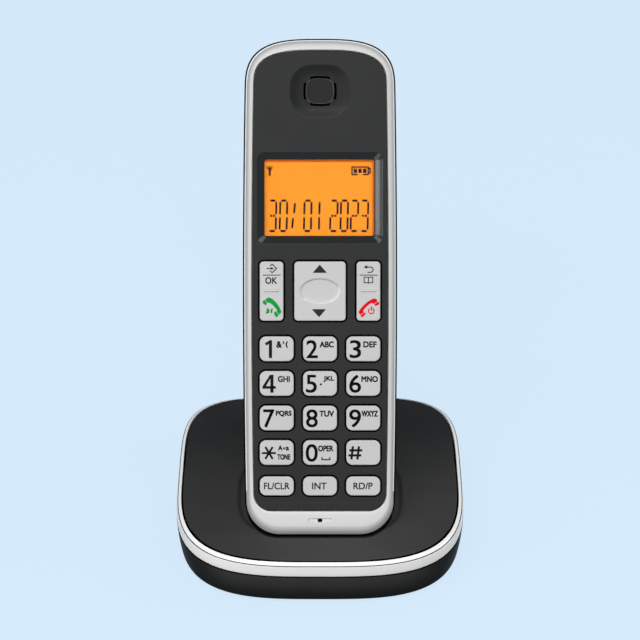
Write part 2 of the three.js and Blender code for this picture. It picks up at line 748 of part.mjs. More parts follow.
function buildHandset() {
  addPiece(handset, "handset_front_cover", buildFrontCover(), blackPlastic);
  addPiece(handset, "handset_frame", buildFrame(), silverPlastic);
  addPiece(handset, "handset_rear_cover", buildRearCover(), blackPlastic);

  const doorShell = doorPrism(0).intersect(backForm(0, -PARTING_DEPTH));
  const door = doorShell.subtract(backForm(DOOR_THICKNESS, CUT_OVERRUN));
  addPiece(handset, "battery_door", door, blackPlastic);

  for (const key of keyPlaces) {
    let body = buildKey(key);
    if (key.name === "navigation_key") {
      const dishPoints = roundedPoints(
        NAV_DISH_WIDTH,
        NAV_DISH_HEIGHT,
        NAV_DISH_HEIGHT * ROUND_END_SHARE,
        key.x,
        key.y,
      );
      body = body.subtract(prism(dishPoints, KEY_PROUD - NAV_DISH_DEPTH, CUT_OVERRUN));
    }
    addPiece(handset, key.name, body, keyPlastic);
  }

  const windowTop = -COVER_THICKNESS - SEAT_GAP;
  const moduleTop = windowTop - WINDOW_THICKNESS - SEAT_GAP;
  const matBottom = -MAT_DEPTH - MAT_THICKNESS;
  const boardTop = matBottom - SEAT_GAP;
  const overDisplay = (lap) =>
    roundedPoints(DISPLAY_WIDTH + 2 * lap, DISPLAY_HEIGHT + 2 * lap, DISPLAY_CORNER, 0, DISPLAY_CENTRE, 1);
  const windowBody = prism(overDisplay(WINDOW_LAP), windowTop - WINDOW_THICKNESS, windowTop);
  addPiece(handset, "display_window", windowBody, clearPlastic);
  addPiece(handset, "display_module", prism(overDisplay(MODULE_LAP), matBottom, moduleTop), displayOrange);

  const firstRow = FUNCTION_ROW - FUNCTION_KEY_HEIGHT / 2 - KEY_FLANGE_LAP;
  const lastRow = ROCKER_ROW + ROCKER_HEIGHT / 2 + KEY_FLANGE_LAP;
  const mat = block(-MAT_HALF_WIDTH, MAT_HALF_WIDTH, firstRow, lastRow, matBottom, -MAT_DEPTH);
  addPiece(handset, "keypad_mat", mat, rubber);

  const boardPoints = handsetOutline(
    BOARD_EDGE,
    BOARD_FROM_END,
    HANDSET_LENGTH - BOARD_FROM_TOP,
    COVER_BOTTOM_CORNER,
    COVER_TOP_CORNER,
  );
  const board = without(
    prism(boardPoints, boardTop - BOARD_THICKNESS, boardTop),
    POSTS.map((x) =>
      bar(
        POST_RADIUS + SEAT_GAP,
        x,
        RINGER_CENTRE,
        boardTop - BOARD_THICKNESS - CUT_OVERRUN,
        boardTop + CUT_OVERRUN,
        FINE_STEPS,
      ),
    ),
  );
  addPiece(handset, "handset_board", board, boardGreen);

  const earTop = windowTop;
  const ear = bar(EARPIECE_RADIUS, 0, EARPIECE_CENTRE, earTop - EARPIECE_THICKNESS, earTop);
  addPiece(handset, "earpiece_speaker", ear, steel);
  const ringerBack = -REAR_FACE + SHELL_WALL + RINGER_SET_BACK;
  const ringer = bar(RINGER_RADIUS, 0, RINGER_CENTRE, ringerBack, ringerBack + RINGER_THICKNESS);
  addPiece(handset, "ringer_speaker", ringer, steel);
  const micTop = -PARTING_DEPTH;
  const mic = bar(MIC_RADIUS, 0, MIC_FROM_END, micTop - MIC_THICKNESS, micTop, FINE_STEPS);
  addPiece(handset, "microphone", mic, steel);

  buildBattery();

  POSTS.forEach((x, i) => {
    const head = bar(HEAD_RADIUS, x, RINGER_CENTRE, -HEAD_DEPTH - HEAD_THICKNESS, -HEAD_DEPTH, FINE_STEPS);
    const shank = bar(
      SHANK_RADIUS,
      x,
      RINGER_CENTRE,
      -HEAD_DEPTH - HEAD_THICKNESS / 2,
      -HEAD_DEPTH + SHANK_LENGTH,
      FINE_STEPS,
    );
    addPiece(handset, ["handset_screw_left", "handset_screw_right"][i], head.add(shank), steel);
  });

  [-1, 1].forEach((side, i) => {
    const x = (side * PAD_SPACING) / 2;
    const pad = bar(PAD_RADIUS, x, PAD_PLACE_Y, PAD_PLACE_Z, PAD_PLACE_Z + PAD_LENGTH);
    addPiece(handset, ["charge_pad_left", "charge_pad_right"][i], uprightInHandset(pad), brightMetal);
  });
}

// Two cells lie side by side, with a bridge at their upper ends and a terminal at each lower end.
function buildBattery() {
  const start = COMPARTMENT_CENTRE - POCKET_LENGTH / 2;
  const end = COMPARTMENT_CENTRE + POCKET_LENGTH / 2;
  const cellStart = start + CONTACT_SLOT;
  [-1, 1].forEach((side, i) => {
    const x = (side * CELL_SPACING) / 2;
    const tipUp = side < 0;
    const low = cellStart + (tipUp ? 0 : CELL_TIP);
    const high = cellStart + CELL_LENGTH - (tipUp ? CELL_TIP : 0);
    const can = new THREE.CylinderGeometry(CELL_RADIUS, CELL_RADIUS, high - low, ROUND_STEPS);
    can.translate(x, (low + high) / 2, -CELL_AXIS_DEPTH);
    const tip = new THREE.CylinderGeometry(CELL_TIP_RADIUS, CELL_TIP_RADIUS, 2 * CELL_TIP, FINE_STEPS);
    tip.translate(x, tipUp ? high : low, -CELL_AXIS_DEPTH);
    addPiece(handset, ["battery_cell_left", "battery_cell_right"][i], solid(can).add(solid(tip)), cellWrap);

    const terminal = block(
      x - CELL_RADIUS + 2 * SEAT_GAP,
      x + CELL_RADIUS - 2 * SEAT_GAP,
      start + SEAT_GAP,
      start + SEAT_GAP + CONTACT_THICKNESS,
      -CELL_AXIS_DEPTH - CELL_RADIUS / 2,
      -POCKET_FLOOR_DEPTH - SEAT_GAP,
    );
    addPiece(handset, ["battery_terminal_left", "battery_terminal_right"][i], terminal, steel);
  });
  const reach = CELL_SPACING / 2 + CELL_RADIUS - 2 * SEAT_GAP;
  const bridge = block(
    -reach,
    reach,
    end - SEAT_GAP - CONTACT_THICKNESS,
    end - SEAT_GAP,
    -CELL_AXIS_DEPTH - CELL_RADIUS / 2,
    -POCKET_FLOOR_DEPTH - SEAT_GAP,
  );
  addPiece(handset, "battery_bridge", bridge, steel);
}

// The base's outline from above: squarer at the back than at the front, set in from its widest line.
function baseOutline(inset) {
  return squircle(
    BASE_HALF_WIDTH - inset,
    BASE_HALF_DEPTH - inset,
    FRONT_POWER,
    BACK_POWER,
    0,
    BASE_STEPS,
  );
}

function squircle(halfWidth, halfDepth, frontPower, backPower, centreY, steps) {
  const points = [];
  for (let i = 0; i < 4 * steps; i += 1) {
    const angle = (Math.PI / 2) * (i / steps);
    const cosine = Math.cos(angle);
    const sine = Math.sin(angle);
    const power = sine < 0 ? frontPower : backPower;
    points.push(
      new THREE.Vector2(
        Math.sign(cosine) * halfWidth * Math.abs(cosine) ** (2 / power),
        centreY + Math.sign(sine) * halfDepth * Math.abs(sine) ** (2 / power),
      ),
    );
  }
  return points;
}

// Places of the base's screws and feet
const screwX = BASE_HALF_WIDTH - SCREW_FROM_SIDE;
const screwPlaces = SCREW_ROW_SHARES.flatMap((row) =>
  [-1, 1].map((side) => [side * screwX, row * BASE_HALF_DEPTH]),
);
const footPlaces = FOOT_PLACE_SHARES.flatMap(([across, along]) =>
  [-1, 1].map((side) => [side * across * BASE_HALF_WIDTH, along * BASE_HALF_DEPTH]),
);

// The back rest in side view, set in by a wall.
function restProfile(inset) {
  const foot = BASE_TOP - TOP_PLATE - inset * 2;
  const shape = new THREE.Shape();
  shape.moveTo(REST_FOOT_FRONT + inset, foot);
  shape.lineTo(REST_FOOT_BACK - inset, foot);
  shape.lineTo(REST_FOOT_BACK - inset * 2, BASE_TOP - inset);
  shape.quadraticCurveTo(
    REST_TOP_BACK + REST_ROUND - inset,
    (BASE_TOP + REST_TOP) / 2 - inset,
    REST_TOP_BACK - inset,
    REST_TOP - REST_ROUND - inset,
  );
  shape.quadraticCurveTo(
    REST_TOP_BACK - inset - REST_ROUND / 2,
    REST_TOP - inset,
    REST_TOP_BACK - REST_ROUND - inset,
    REST_TOP - inset,
  );
  shape.lineTo(REST_TOP_FRONT + inset, REST_TOP - inset);
  shape.closePath();
  return shape;
}

// The back rest: its side view carried across, within a front view with round shoulders.
function restForm(inset) {
  const halfWidth = REST_HALF_WIDTH - inset;
  const height = REST_TOP - inset;
  const across = crosswise(restProfile(inset), halfWidth + CUT_OVERRUN, 0);
  const points = roundedPoints(2 * halfWidth, 2 * height, REST_SHOULDER - inset, 0, 0);
  const geometry = geometryOf(prism(points, -BASE_HALF_DEPTH, BASE_HALF_DEPTH));
  geometry.rotateX(Math.PI / 2);
  return across.intersect(solid(geometry));
}

function buildBaseTop() {
  const plateBottom = LOWER_TOP + SEAT_GAP;
  const plate = prism(baseOutline(COVER_INSET), plateBottom, BASE_TOP);
  const tub = leaned(backForm(-POCKET_GAP - TUB_WALL, BEAD_HEIGHT + POCKET_GAP + TUB_WALL));
  const tubZone = block(
    -BASE_HALF_WIDTH,
    BASE_HALF_WIDTH,
    -BASE_HALF_DEPTH,
    BASE_HALF_DEPTH,
    FOOT_PROUD,
    BASE_TOP - TOP_PLATE / 2,
  );
  const tubBody = tub.intersect(tubZone);
  const rest = restForm(0);
  const restHollow = restForm(SHELL_WALL);
  const plateHollow = prism(
    baseOutline(COVER_INSET + SKIRT_WALL),
    plateBottom - CUT_OVERRUN,
    BASE_TOP - TOP_PLATE,
  );
  const underside = BASE_TOP - TOP_PLATE;
  const bosses = screwPlaces.map(([x, y]) =>
    bar(BASE_BOSS_RADIUS, x, y, BASE_BOSS_BOTTOM, underside + TOP_PLATE / 2, FINE_STEPS),
  );
  const hollow = without(plateHollow.add(restHollow), [tub, ...bosses]);
  const lipReach = (share) =>
    squircle(
      LIP_HALF_WIDTH - LIP_SLOPE * share,
      LIP_HALF_DEPTH - LIP_SLOPE * share,
      LIP_POWER,
      LIP_POWER,
      LIP_CENTRE,
      END_STEPS,
    );
  const lipZone = loft([
    { points: lipReach(1), height: BASE_TOP - LIP_DEPTH },
    { points: lipReach(0), height: BASE_TOP },
    { points: lipReach(0), height: BASE_TOP + LIP_DEPTH / 2 },
  ]);
  const lip = lipZone.subtract(rest);
  const pocket = leaned(backForm(-POCKET_GAP, BEAD_HEIGHT + POCKET_GAP));
  const cuts = [hollow, lip, pocket];
  for (const [x, y] of screwPlaces) {
    cuts.push(
      bar(
        BASE_SCREW_RADIUS + SEAT_GAP,
        x,
        y,
        BASE_BOSS_BOTTOM - CUT_OVERRUN,
        BASE_HEAD_BOTTOM + BASE_HEAD_THICKNESS + BASE_SCREW_LENGTH + 2 * SEAT_GAP,
        FINE_STEPS,
      ),
    );
  }
  for (const side of [-1, 1]) {
    const x = (side * PAD_SPACING) / 2;
    const half = CONTACT_WIDTH / 2 + SEAT_GAP;
    const reach = CONTACT_DOME + SEAT_GAP;
    const low = TUB_UNDERSIDE - CUT_OVERRUN;
    cuts.push(block(x - half, x + half, PAD_PLACE_Y - reach, PAD_PLACE_Y + reach, low, PAD_PLACE_Z));
  }
  return without(joined([plate, tubBody, rest, ...bosses]), cuts);
}

function buildRimRing() {
  const bottom = LOWER_TOP + SEAT_GAP;
  const body = loft([
    { points: baseOutline(0), height: bottom },
    { points: baseOutline(RING_SIDE_INSET), height: RING_EDGE },
    { points: baseOutline(RING_CHAMFER_INSET), height: BASE_TOP },
  ]);
  return body.subtract(prism(baseOutline(RING_WALL), bottom - CUT_OVERRUN, BASE_TOP + CUT_OVERRUN));
}

// Where the lower shell's side lies: set-in shares of the wall against shares of its height.
const SIDE_SHARES = [
  [0.72, 0],
  [0.47, 0.06],
  [0.3, 0.25],
  [0.1, 0.6],
  [0, 1],
];

function wallY(inset) {
  return BASE_HALF_DEPTH - inset;
}

const FLOOR_TOP = FOOT_PROUD + FLOOR_THICKNESS;
const SOCKET_BOTTOM = FLOOR_TOP + SEAT_GAP;
const SOCKETS = [
  { name: "line_socket", ...LINE_SOCKET },
  { name: "power_socket", ...POWER_SOCKET },
];

function buildBaseBottom() {
  const body = loft(
    SIDE_SHARES.map(([insetShare, heightShare]) => ({
      points: baseOutline(LOWER_WALL * insetShare),
      height: FOOT_PROUD + (LOWER_TOP - FOOT_PROUD) * heightShare,
    })),
  );
  const screwPads = screwPlaces.map(([x, y]) => bar(SCREW_PAD_RADIUS, x, y, FOOT_PROUD, SCREW_PAD_TOP));
  const boardPosts = boardPostPlaces().map(([x, y]) =>
    bar(BOARD_POST_RADIUS, x, y, FOOT_PROUD, BASE_BOARD_HEIGHT - SEAT_GAP, FINE_STEPS),
  );
  const hollow = without(prism(baseOutline(LOWER_WALL), FLOOR_TOP, LOWER_TOP + CUT_OVERRUN), [
    ...screwPads,
    ...boardPosts,
  ]);
  const cuts = [hollow];
  for (const [x, y] of screwPlaces) {
    const headTop = BASE_HEAD_BOTTOM + BASE_HEAD_THICKNESS + SEAT_GAP;
    cuts.push(bar(BASE_HEAD_RADIUS + SEAT_GAP, x, y, -CUT_OVERRUN, headTop));
    cuts.push(bar(BASE_SCREW_RADIUS + SEAT_GAP, x, y, FOOT_PROUD, SCREW_PAD_TOP + CUT_OVERRUN, FINE_STEPS));
  }
  for (const [x, y] of footPlaces) {
    cuts.push(bar(FOOT_RADIUS + SEAT_GAP, x, y, -CUT_OVERRUN, FOOT_PROUD + FOOT_RECESS));
  }
  for (const socket of SOCKETS) {
    const half = socket.width / 2 + SEAT_GAP;
    const top = SOCKET_BOTTOM + SOCKET_HEIGHT + SEAT_GAP;
    const inner = wallY(LOWER_WALL) - CUT_OVERRUN;
    const outer = BASE_HALF_DEPTH + CUT_OVERRUN;
    cuts.push(block(socket.x - half, socket.x + half, inner, outer, FLOOR_TOP, top));
  }
  cuts.push(buttonForm(SEAT_GAP, wallY(LOWER_WALL) - CUT_OVERRUN, BASE_HALF_DEPTH + CUT_OVERRUN));
  return without(body, cuts);
}

function boardPostPlaces() {
  const x = BASE_BOARD_HALF_WIDTH - BOARD_POST_INSET;
  const front = BASE_BOARD_START + BOARD_POST_INSET;
  const back = BASE_BOARD_START + BASE_BOARD_LENGTH - BOARD_POST_INSET;
  return [
    [-x, front],
    [x, front],
    [-x, back],
    [x, back],
  ];
}

// A lozenge that lies along Y, for the paging button and the window it works in.
function buttonForm(grow, from, to) {
  const height = BUTTON_HEIGHT + 2 * grow;
  const points = roundedPoints(BUTTON_WIDTH + 2 * grow, height, height * ROUND_END_SHARE, 0, 0);
  const geometry = geometryOf(prism(points, 0, to - from));
  geometry.rotateX(Math.PI / 2);
  geometry.translate(0, to, BUTTON_CENTRE);
  return solid(geometry);
}

function buildBaseFittings() {
  const boardTop = BASE_BOARD_HEIGHT + BOARD_THICKNESS;
  const boardEnd = BASE_BOARD_START + BASE_BOARD_LENGTH;
  const half = BASE_BOARD_HALF_WIDTH;
  const board = block(-half, half, BASE_BOARD_START, boardEnd, BASE_BOARD_HEIGHT, boardTop);
  addPiece(phone, "base_board", board, boardGreen);

  [-1, 1].forEach((side, i) => {
    const shape = new THREE.Shape();
    const top = PAD_PLACE_Z - SEAT_GAP;
    const footTop = TUB_UNDERSIDE - SEAT_GAP;
    const footBottom = footTop - CONTACT_THICKNESS;
    const reach = CONTACT_FOOT / 2;
    shape.moveTo(PAD_PLACE_Y - reach, footBottom);
    shape.lineTo(PAD_PLACE_Y + reach, footBottom);
    shape.lineTo(PAD_PLACE_Y + reach, footTop);
    shape.lineTo(PAD_PLACE_Y + CONTACT_DOME, footTop);
    shape.quadraticCurveTo(PAD_PLACE_Y + CONTACT_DOME, top, PAD_PLACE_Y, top);
    shape.quadraticCurveTo(PAD_PLACE_Y - CONTACT_DOME, top, PAD_PLACE_Y - CONTACT_DOME, footTop);
    shape.lineTo(PAD_PLACE_Y - reach, footTop);
    shape.closePath();
    const contact = crosswise(shape, CONTACT_WIDTH / 2, (side * PAD_SPACING) / 2);
    addPiece(phone, ["charge_contact_left", "charge_contact_right"][i], contact, brightMetal);
  });

  for (const socket of SOCKETS) {
    const back = wallY(SOCKET_SET_BACK);
    const front = back - SOCKET_LENGTH;
    const halfWidth = socket.width / 2;
    const top = SOCKET_BOTTOM + SOCKET_HEIGHT;
    const housing = block(socket.x - halfWidth, socket.x + halfWidth, front, back, SOCKET_BOTTOM, top);
    const middle = SOCKET_BOTTOM + SOCKET_HEIGHT / 2;
    const hole = block(
      socket.x - socket.holeWidth / 2,
      socket.x + socket.holeWidth / 2,
      front + SOCKET_BACK,
      back + CUT_OVERRUN,
      middle - socket.holeHeight / 2,
      middle + socket.holeHeight / 2,
    );
    addPiece(phone, socket.name, housing.subtract(hole), blackPlastic);
  }

  const innerWall = wallY(LOWER_WALL) - SEAT_GAP;
  const cap = buttonForm(0, innerWall - BUTTON_FLANGE_THICKNESS / 2, BASE_HALF_DEPTH + BUTTON_PROUD);
  const flange = buttonForm(BUTTON_FLANGE, innerWall - BUTTON_FLANGE_THICKNESS, innerWall);
  const stemEnd = innerWall - BUTTON_FLANGE_THICKNESS - BUTTON_STEM_LENGTH;
  const stemHalf = BUTTON_STEM / 2;
  const stem = block(
    -stemHalf,
    stemHalf,
    stemEnd,
    innerWall - BUTTON_FLANGE_THICKNESS / 2,
    BUTTON_CENTRE - stemHalf,
    BUTTON_CENTRE + stemHalf,
  );
  addPiece(phone, "page_button", joined([cap, flange, stem]), keyPlastic);

  footPlaces.forEach(([x, y], i) => {
    addPiece(phone, `base_foot_${i + 1}`, bar(FOOT_RADIUS, x, y, 0, FOOT_THICKNESS), rubber);
  });
  screwPlaces.forEach(([x, y], i) => {
    const headTop = BASE_HEAD_BOTTOM + BASE_HEAD_THICKNESS;
    const head = bar(BASE_HEAD_RADIUS, x, y, BASE_HEAD_BOTTOM, headTop, FINE_STEPS);
    const shank = bar(BASE_SCREW_RADIUS, x, y, BASE_HEAD_BOTTOM, headTop + BASE_SCREW_LENGTH, FINE_STEPS);
    addPiece(phone, `base_screw_${i + 1}`, head.add(shank), steel);
  });
}

buildHandset();
addPiece(phone, "base_top_cover", buildBaseTop(), blackPlastic);
addPiece(phone, "base_rim_ring", buildRimRing(), silverPlastic);
addPiece(phone, "base_bottom_cover", buildBaseBottom(), blackPlastic);
buildBaseFittings();

// The origin is below the middle of the whole phone, on the surface it stands on.
phone.add(handset);
root.add(phone);
root.updateMatrixWorld(true);
const extent = new THREE.Box3().setFromObject(root, true);
phone.position.y = -(extent.min.y + extent.max.y) / 2;

export default root;
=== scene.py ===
import math

import bpy
import numpy as np
from mathutils.geometry import tessellate_polygon
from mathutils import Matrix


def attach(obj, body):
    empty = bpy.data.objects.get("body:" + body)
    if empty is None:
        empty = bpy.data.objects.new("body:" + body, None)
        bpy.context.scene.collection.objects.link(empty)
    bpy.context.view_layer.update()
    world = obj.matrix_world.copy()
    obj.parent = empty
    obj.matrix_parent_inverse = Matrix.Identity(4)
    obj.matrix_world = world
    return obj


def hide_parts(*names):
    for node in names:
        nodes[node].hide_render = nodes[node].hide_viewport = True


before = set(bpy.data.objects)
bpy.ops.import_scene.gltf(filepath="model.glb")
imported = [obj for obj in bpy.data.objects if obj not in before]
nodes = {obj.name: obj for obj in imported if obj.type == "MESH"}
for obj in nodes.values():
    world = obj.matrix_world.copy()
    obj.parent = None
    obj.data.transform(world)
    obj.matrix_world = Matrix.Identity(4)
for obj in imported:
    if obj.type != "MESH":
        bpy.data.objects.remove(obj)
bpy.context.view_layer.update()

# ---------------------------------------------------------------------------------------------
# Camera: it stands in front of the phone and looks down at it through a long lens, so that the
# keys face it squarely and the base is seen from above.
CAMERA_DISTANCE = 0.8
LOOK_DOWN = math.radians(33)
LOOK_AT = (0, -0.003463, 0.07303)
LENS = 142.2
SENSOR = 36

camera_data = bpy.data.cameras.new("camera")
camera_data.lens = LENS
camera_data.sensor_width = SENSOR
camera = bpy.data.objects.new("camera", camera_data)
camera.location = (
    LOOK_AT[0],
    LOOK_AT[1] - CAMERA_DISTANCE * math.cos(LOOK_DOWN),
    LOOK_AT[2] + CAMERA_DISTANCE * math.sin(LOOK_DOWN),
)
camera.rotation_euler = (math.pi / 2 - LOOK_DOWN, 0, 0)
scene = bpy.context.scene
scene.collection.objects.link(camera)
scene.camera = camera
scene.view_settings.view_transform = "Standard"

# ---------------------------------------------------------------------------------------------
# Room: a pale blue surround that the camera and the glossy pieces see, with soft white light from
# all round and five soft lamps that give the silver its bands.
PALE_BLUE = (0.658, 0.815, 0.956, 1)
SURROUND_LIGHT = 0.34
FLOOR_HALF = 3.0
FLOOR_GLOW = 0.9
FLOOR_BLUE = (0.682, 0.84, 0.985, 1)


def set_inputs(tree, node, inputs):
    """Each named input holds its value, or is linked to the socket that is given for it."""
    for name, value in inputs.items():
        if isinstance(value, bpy.types.NodeSocket):
            tree.links.new(value, node.inputs[name])
        else:
            node.inputs[name].default_value = value


def add_node(tree, kind, inputs=None, **settings):
    """A new node with its settings and inputs. What comes back is its outputs."""
    node = tree.nodes.new(kind)
    for name, value in settings.items():
        setattr(node, name, value)
    set_inputs(tree, node, inputs or {})
    return node.outputs


def seen_directly(tree):
    """One where a ray comes from the camera, a reflection or a clear piece, and nought elsewhere."""
    path = add_node(tree, "ShaderNodeLightPath")
    rays = {0: path["Is Camera Ray"], 1: path["Is Glossy Ray"]}
    either = add_node(tree, "ShaderNodeMath", rays, operation="MAXIMUM")
    rays = {0: either[0], 1: path["Is Transmission Ray"]}
    return add_node(tree, "ShaderNodeMath", rays, operation="MAXIMUM")[0]


room = bpy.data.worlds.new("room")
scene.world = room
room.use_nodes = True
tree = room.node_tree
tree.nodes.clear()
backdrop = add_node(tree, "ShaderNodeBackground", {"Color": PALE_BLUE, "Strength": 1})
white = {"Color": (1, 1, 1, 1), "Strength": SURROUND_LIGHT}
ambient = add_node(tree, "ShaderNodeBackground", white)
either = {0: seen_directly(tree), 1: ambient[0], 2: backdrop[0]}
add_node(tree, "ShaderNodeOutputWorld", {"Surface": add_node(tree, "ShaderNodeMixShader", either)[0]})

floor_mesh = bpy.data.meshes.new("floor")
floor_mesh.from_pydata(
    [(x * FLOOR_HALF, y * FLOOR_HALF, 0) for x, y in ((-1, -1), (1, -1), (1, 1), (-1, 1))],
    [],
    [(0, 1, 2, 3)],
)
floor = bpy.data.objects.new("floor", floor_mesh)
scene.collection.objects.link(floor)
floor_paint = bpy.data.materials.new("pale_floor")
floor_paint.use_nodes = True
tree = floor_paint.node_tree
tree.nodes.clear()
glow = {"Color": FLOOR_BLUE, "Strength": seen_directly(tree)}
glow = add_node(tree, "ShaderNodeEmission", glow)
matt = add_node(tree, "ShaderNodeBsdfDiffuse", {"Color": PALE_BLUE})
blend = add_node(tree, "ShaderNodeMixShader", {0: FLOOR_GLOW, 1: matt[0], 2: glow[0]})
add_node(tree, "ShaderNodeOutputMaterial", {"Surface": blend[0]})
floor_mesh.materials.append(floor_paint)

# Each lamp: its name, its place and what it looks at in metres, its width and height, its power.
for name, place, aim, width, height, power in (
    ("front_lamp", (-0.1, -0.62, 0.46), (0, 0, 0.06), 0.7, 0.5, 1.5),
    ("high_lamp", (-0.2, -0.64, 0.92), (0, 0, 0.03), 0.9, 0.18, 4.3),
    ("left_lamp", (-0.92, -0.66, 0.4), (0, 0, 0.1), 0.16, 0.3, 2.6),
    ("right_lamp", (1.1, 0.1, 0.4), (0, 0, 0.06), 0.2, 0.5, 3.2),
    ("corner_lamp", (0.5, -0.34, 0.78), (0, 0, 0.11), 0.2, 0.2, 0.6),
):
    lamp_data = bpy.data.lights.new(name, "AREA")
    lamp_data.shape = "RECTANGLE"
    lamp_data.size = width
    lamp_data.size_y = height
    lamp_data.energy = power
    lamp = bpy.data.objects.new(name, lamp_data)
    lamp.location = place
    lamp.visible_camera = False
    away = np.array(aim) - np.array(place)
    flat = math.hypot(away[0], away[1])
    lamp.rotation_euler = (math.atan2(flat, -away[2]), 0, math.atan2(-away[0], away[1]))
    scene.collection.objects.link(lamp)

# ---------------------------------------------------------------------------------------------
# Lower shell of the base: a bowl of black satin plastic with its side drawn in towards the desk.
# Its floor has wells for four screws and four feet, and its back wall is cut for the sockets.
MM = 0.001
BASE_MIDDLE_Y = -9.063087
BASE_HALF_WIDTH = 46.6
BASE_HALF_DEPTH = 46.9
BASE_POINTS = 384
FRONT_POWER = 3.3
BACK_POWER = 4.7
TRAY_FLOOR = 1.0
TRAY_TOP = 11.2
TRAY_WALL = 3.6
# Each place on the side: how far it is set in from the base's outline, and its height.
TRAY_SIDE = ((2.0, 1.0), (1.2, 1.62), (0.78, 3.5), (0.28, 7.1), (0.0, 10.6))
TRAY_RIM = ((0.0, 11.0), (0.15, TRAY_TOP))
FLOOR_TOP = 2.4
SCREW_WELLS = ((-37.0, -12.0), (37.0, -12.0), (-37.0, 18.0), (37.0, 18.0))
SCREW_WELL_RADIUS, SCREW_WELL_TOP = 2.7, 1.9
FEET = ((-32.01, -31.0), (32.01, -31.0), (-34.02, 33.02), (34.02, 33.02))
FOOT_WELL_RADIUS, FOOT_WELL_TOP = 4.8, 1.8
# The two holes in the back wall: the left and right of each, and what they share.
SOCKET_HOLES = ((-20.1, -7.9), (9.3, 18.7))
HOLE_LOW, HOLE_HIGH = 2.5, 10.2
HOLE_FRONT, HOLE_BACK = 41.3, 49
BLACK = (0.0155, 0.0155, 0.016)
CREASE = math.radians(38)


def smooth_line(knots, steps):
    """A curve through the knots: between two of them, the cubic whose slope at each knot is half the
    way from its last neighbour to its next one."""
    knots = np.asarray(knots, float)
    ends = np.vstack([2 * knots[0] - knots[1], knots, 2 * knots[-1] - knots[-2]])
    a, b, c, d = (ends[i : len(ends) - 3 + i][:, None] for i in range(4))
    t = (np.arange(steps) / steps)[None, :, None]
    line = 0.5 * (2 * b + (c - a) * t + (2 * a - 5 * b + 4 * c - d) * t**2)
    line += 0.5 * (3 * b - a - 3 * c + d) * t**3
    return np.vstack([line.reshape(-1, knots.shape[1]), knots[-1]])


def circle_of(points):
    """The cosine and sine of even steps of angle, all the way round."""
    turn = 2 * math.pi * np.arange(points) / points
    return np.stack([np.cos(turn), np.sin(turn)], -1)


def base_outline(inset):
    """The base from above: x and y are powers of the cosine and sine, with a squarer power behind."""
    cosine, sine = circle_of(BASE_POINTS).T
    power = np.where(sine < 0, FRONT_POWER, BACK_POWER)
    x = np.sign(cosine) * (BASE_HALF_WIDTH - inset) * np.abs(cosine) ** (2 / power)
    y = np.sign(sine) * (BASE_HALF_DEPTH - inset) * np.abs(sine) ** (2 / power)
    return np.stack([x, y], -1)


def raised(outline, height):
    """A flat outline lifted to a height, which may be one number or one for each point."""
    return np.column_stack([outline, np.broadcast_to(height, len(outline))])


def skin(rings, tube=False, open_start=False, open_end=False):
    """Rings of points joined row to row by four-sided faces. The first and last rows close on their
    own middle points, or on each other where the skin is a tube. Faces are rows of four, with -1
    in the last place of a triangle."""
    rings = np.asarray(rings, float)
    rows, count = rings.shape[:2]
    here = np.arange(count)
    after = (here + 1) % count
    low = np.arange(rows if tube else rows - 1)[:, None] * count
    high = (low + count) % (rows * count)
    faces = [np.stack([low + here, low + after, high + after, high + here], -1).reshape(-1, 4)]
    points = [rings.reshape(-1, 3)]
    tip = rows * count
    last = tip - count
    none = np.full(count, -1)
    if not tube and not open_start:
        points.append(rings[0].mean(0)[None])
        faces.append(np.stack([after, here, np.full(count, tip), none], -1))
        tip += 1
    if not tube and not open_end:
        points.append(rings[-1].mean(0)[None])
        faces.append(np.stack([last + here, last + after, np.full(count, tip), none], -1))
    return np.vstack(points), np.vstack(faces)


def faced_out(form):
    """The same closed form with its faces turned outwards, if the volume they bound is negative."""
    points, faces = form
    corners = points - points.mean(0)
    a, b, c = (corners[faces[:, i]] for i in range(3))
    d = corners[np.where(faces[:, 3] < 0, faces[:, 2], faces[:, 3])]
    volume = (a * np.cross(b, c)).sum() + (a * np.cross(c, d)).sum()
    if volume >= 0:
        return form
    turned = faces[:, ::-1].copy()
    triangle = faces[:, 3] < 0
    turned[triangle, :3] = faces[triangle, 2::-1]
    turned[triangle, 3] = -1
    return points, turned


def joined(*forms):
    """Several forms that already face outwards, as one: each one's faces count on from the last."""
    points, faces, start = [], [], 0
    for form_points, form_faces in forms:
        points.append(form_points)
        faces.append(np.where(form_faces < 0, -1, form_faces + start))
        start += len(form_points)
    return np.vstack(points), np.vstack(faces)


def together(*forms):
    """Several closed forms, turned outwards, as one."""
    return joined(*[faced_out(form) for form in forms])


def shaded(mesh):
    """Smooth shading, sharp where the mesh turns a crease."""
    mesh.polygons.foreach_set("use_smooth", np.ones(len(mesh.polygons), bool))
    mesh.set_sharp_from_angle(angle=CREASE)
    return mesh


def mesh_of(name, form):
    """A form in millimetres as a mesh in metres."""
    points, faces = faced_out(form)
    mesh = bpy.data.meshes.new(name)
    rows = [row[:3] if row[3] < 0 else row for row in faces.tolist()]
    mesh.from_pydata((points * MM).tolist(), [], rows)
    return shaded(mesh)


def on_base(form):
    """Moves a form from the base's own middle to its place below the whole phone's middle."""
    points, faces = form
    return points + (0, BASE_MIDDLE_Y, 0), faces


def add_piece(name, form, body, finish, stands_for=()):
    """A piece at the origin that rides with a body and the nodes that it stands for."""
    piece = bpy.data.objects.new(name, mesh_of(name, form))
    scene.collection.objects.link(piece)
    piece.data.materials.append(finish)
    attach(piece, body)
    if stands_for:
        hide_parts(*stands_for)
    return piece


def finished(piece):
    """Gives the piece the mesh that its modifiers make, and drops them."""
    bpy.context.view_layer.update()
    shown = piece.evaluated_get(bpy.context.evaluated_depsgraph_get())
    mesh = bpy.data.meshes.new_from_object(shown)
    mesh.name = piece.name
    piece.modifiers.clear()
    piece.data = shaded(mesh)


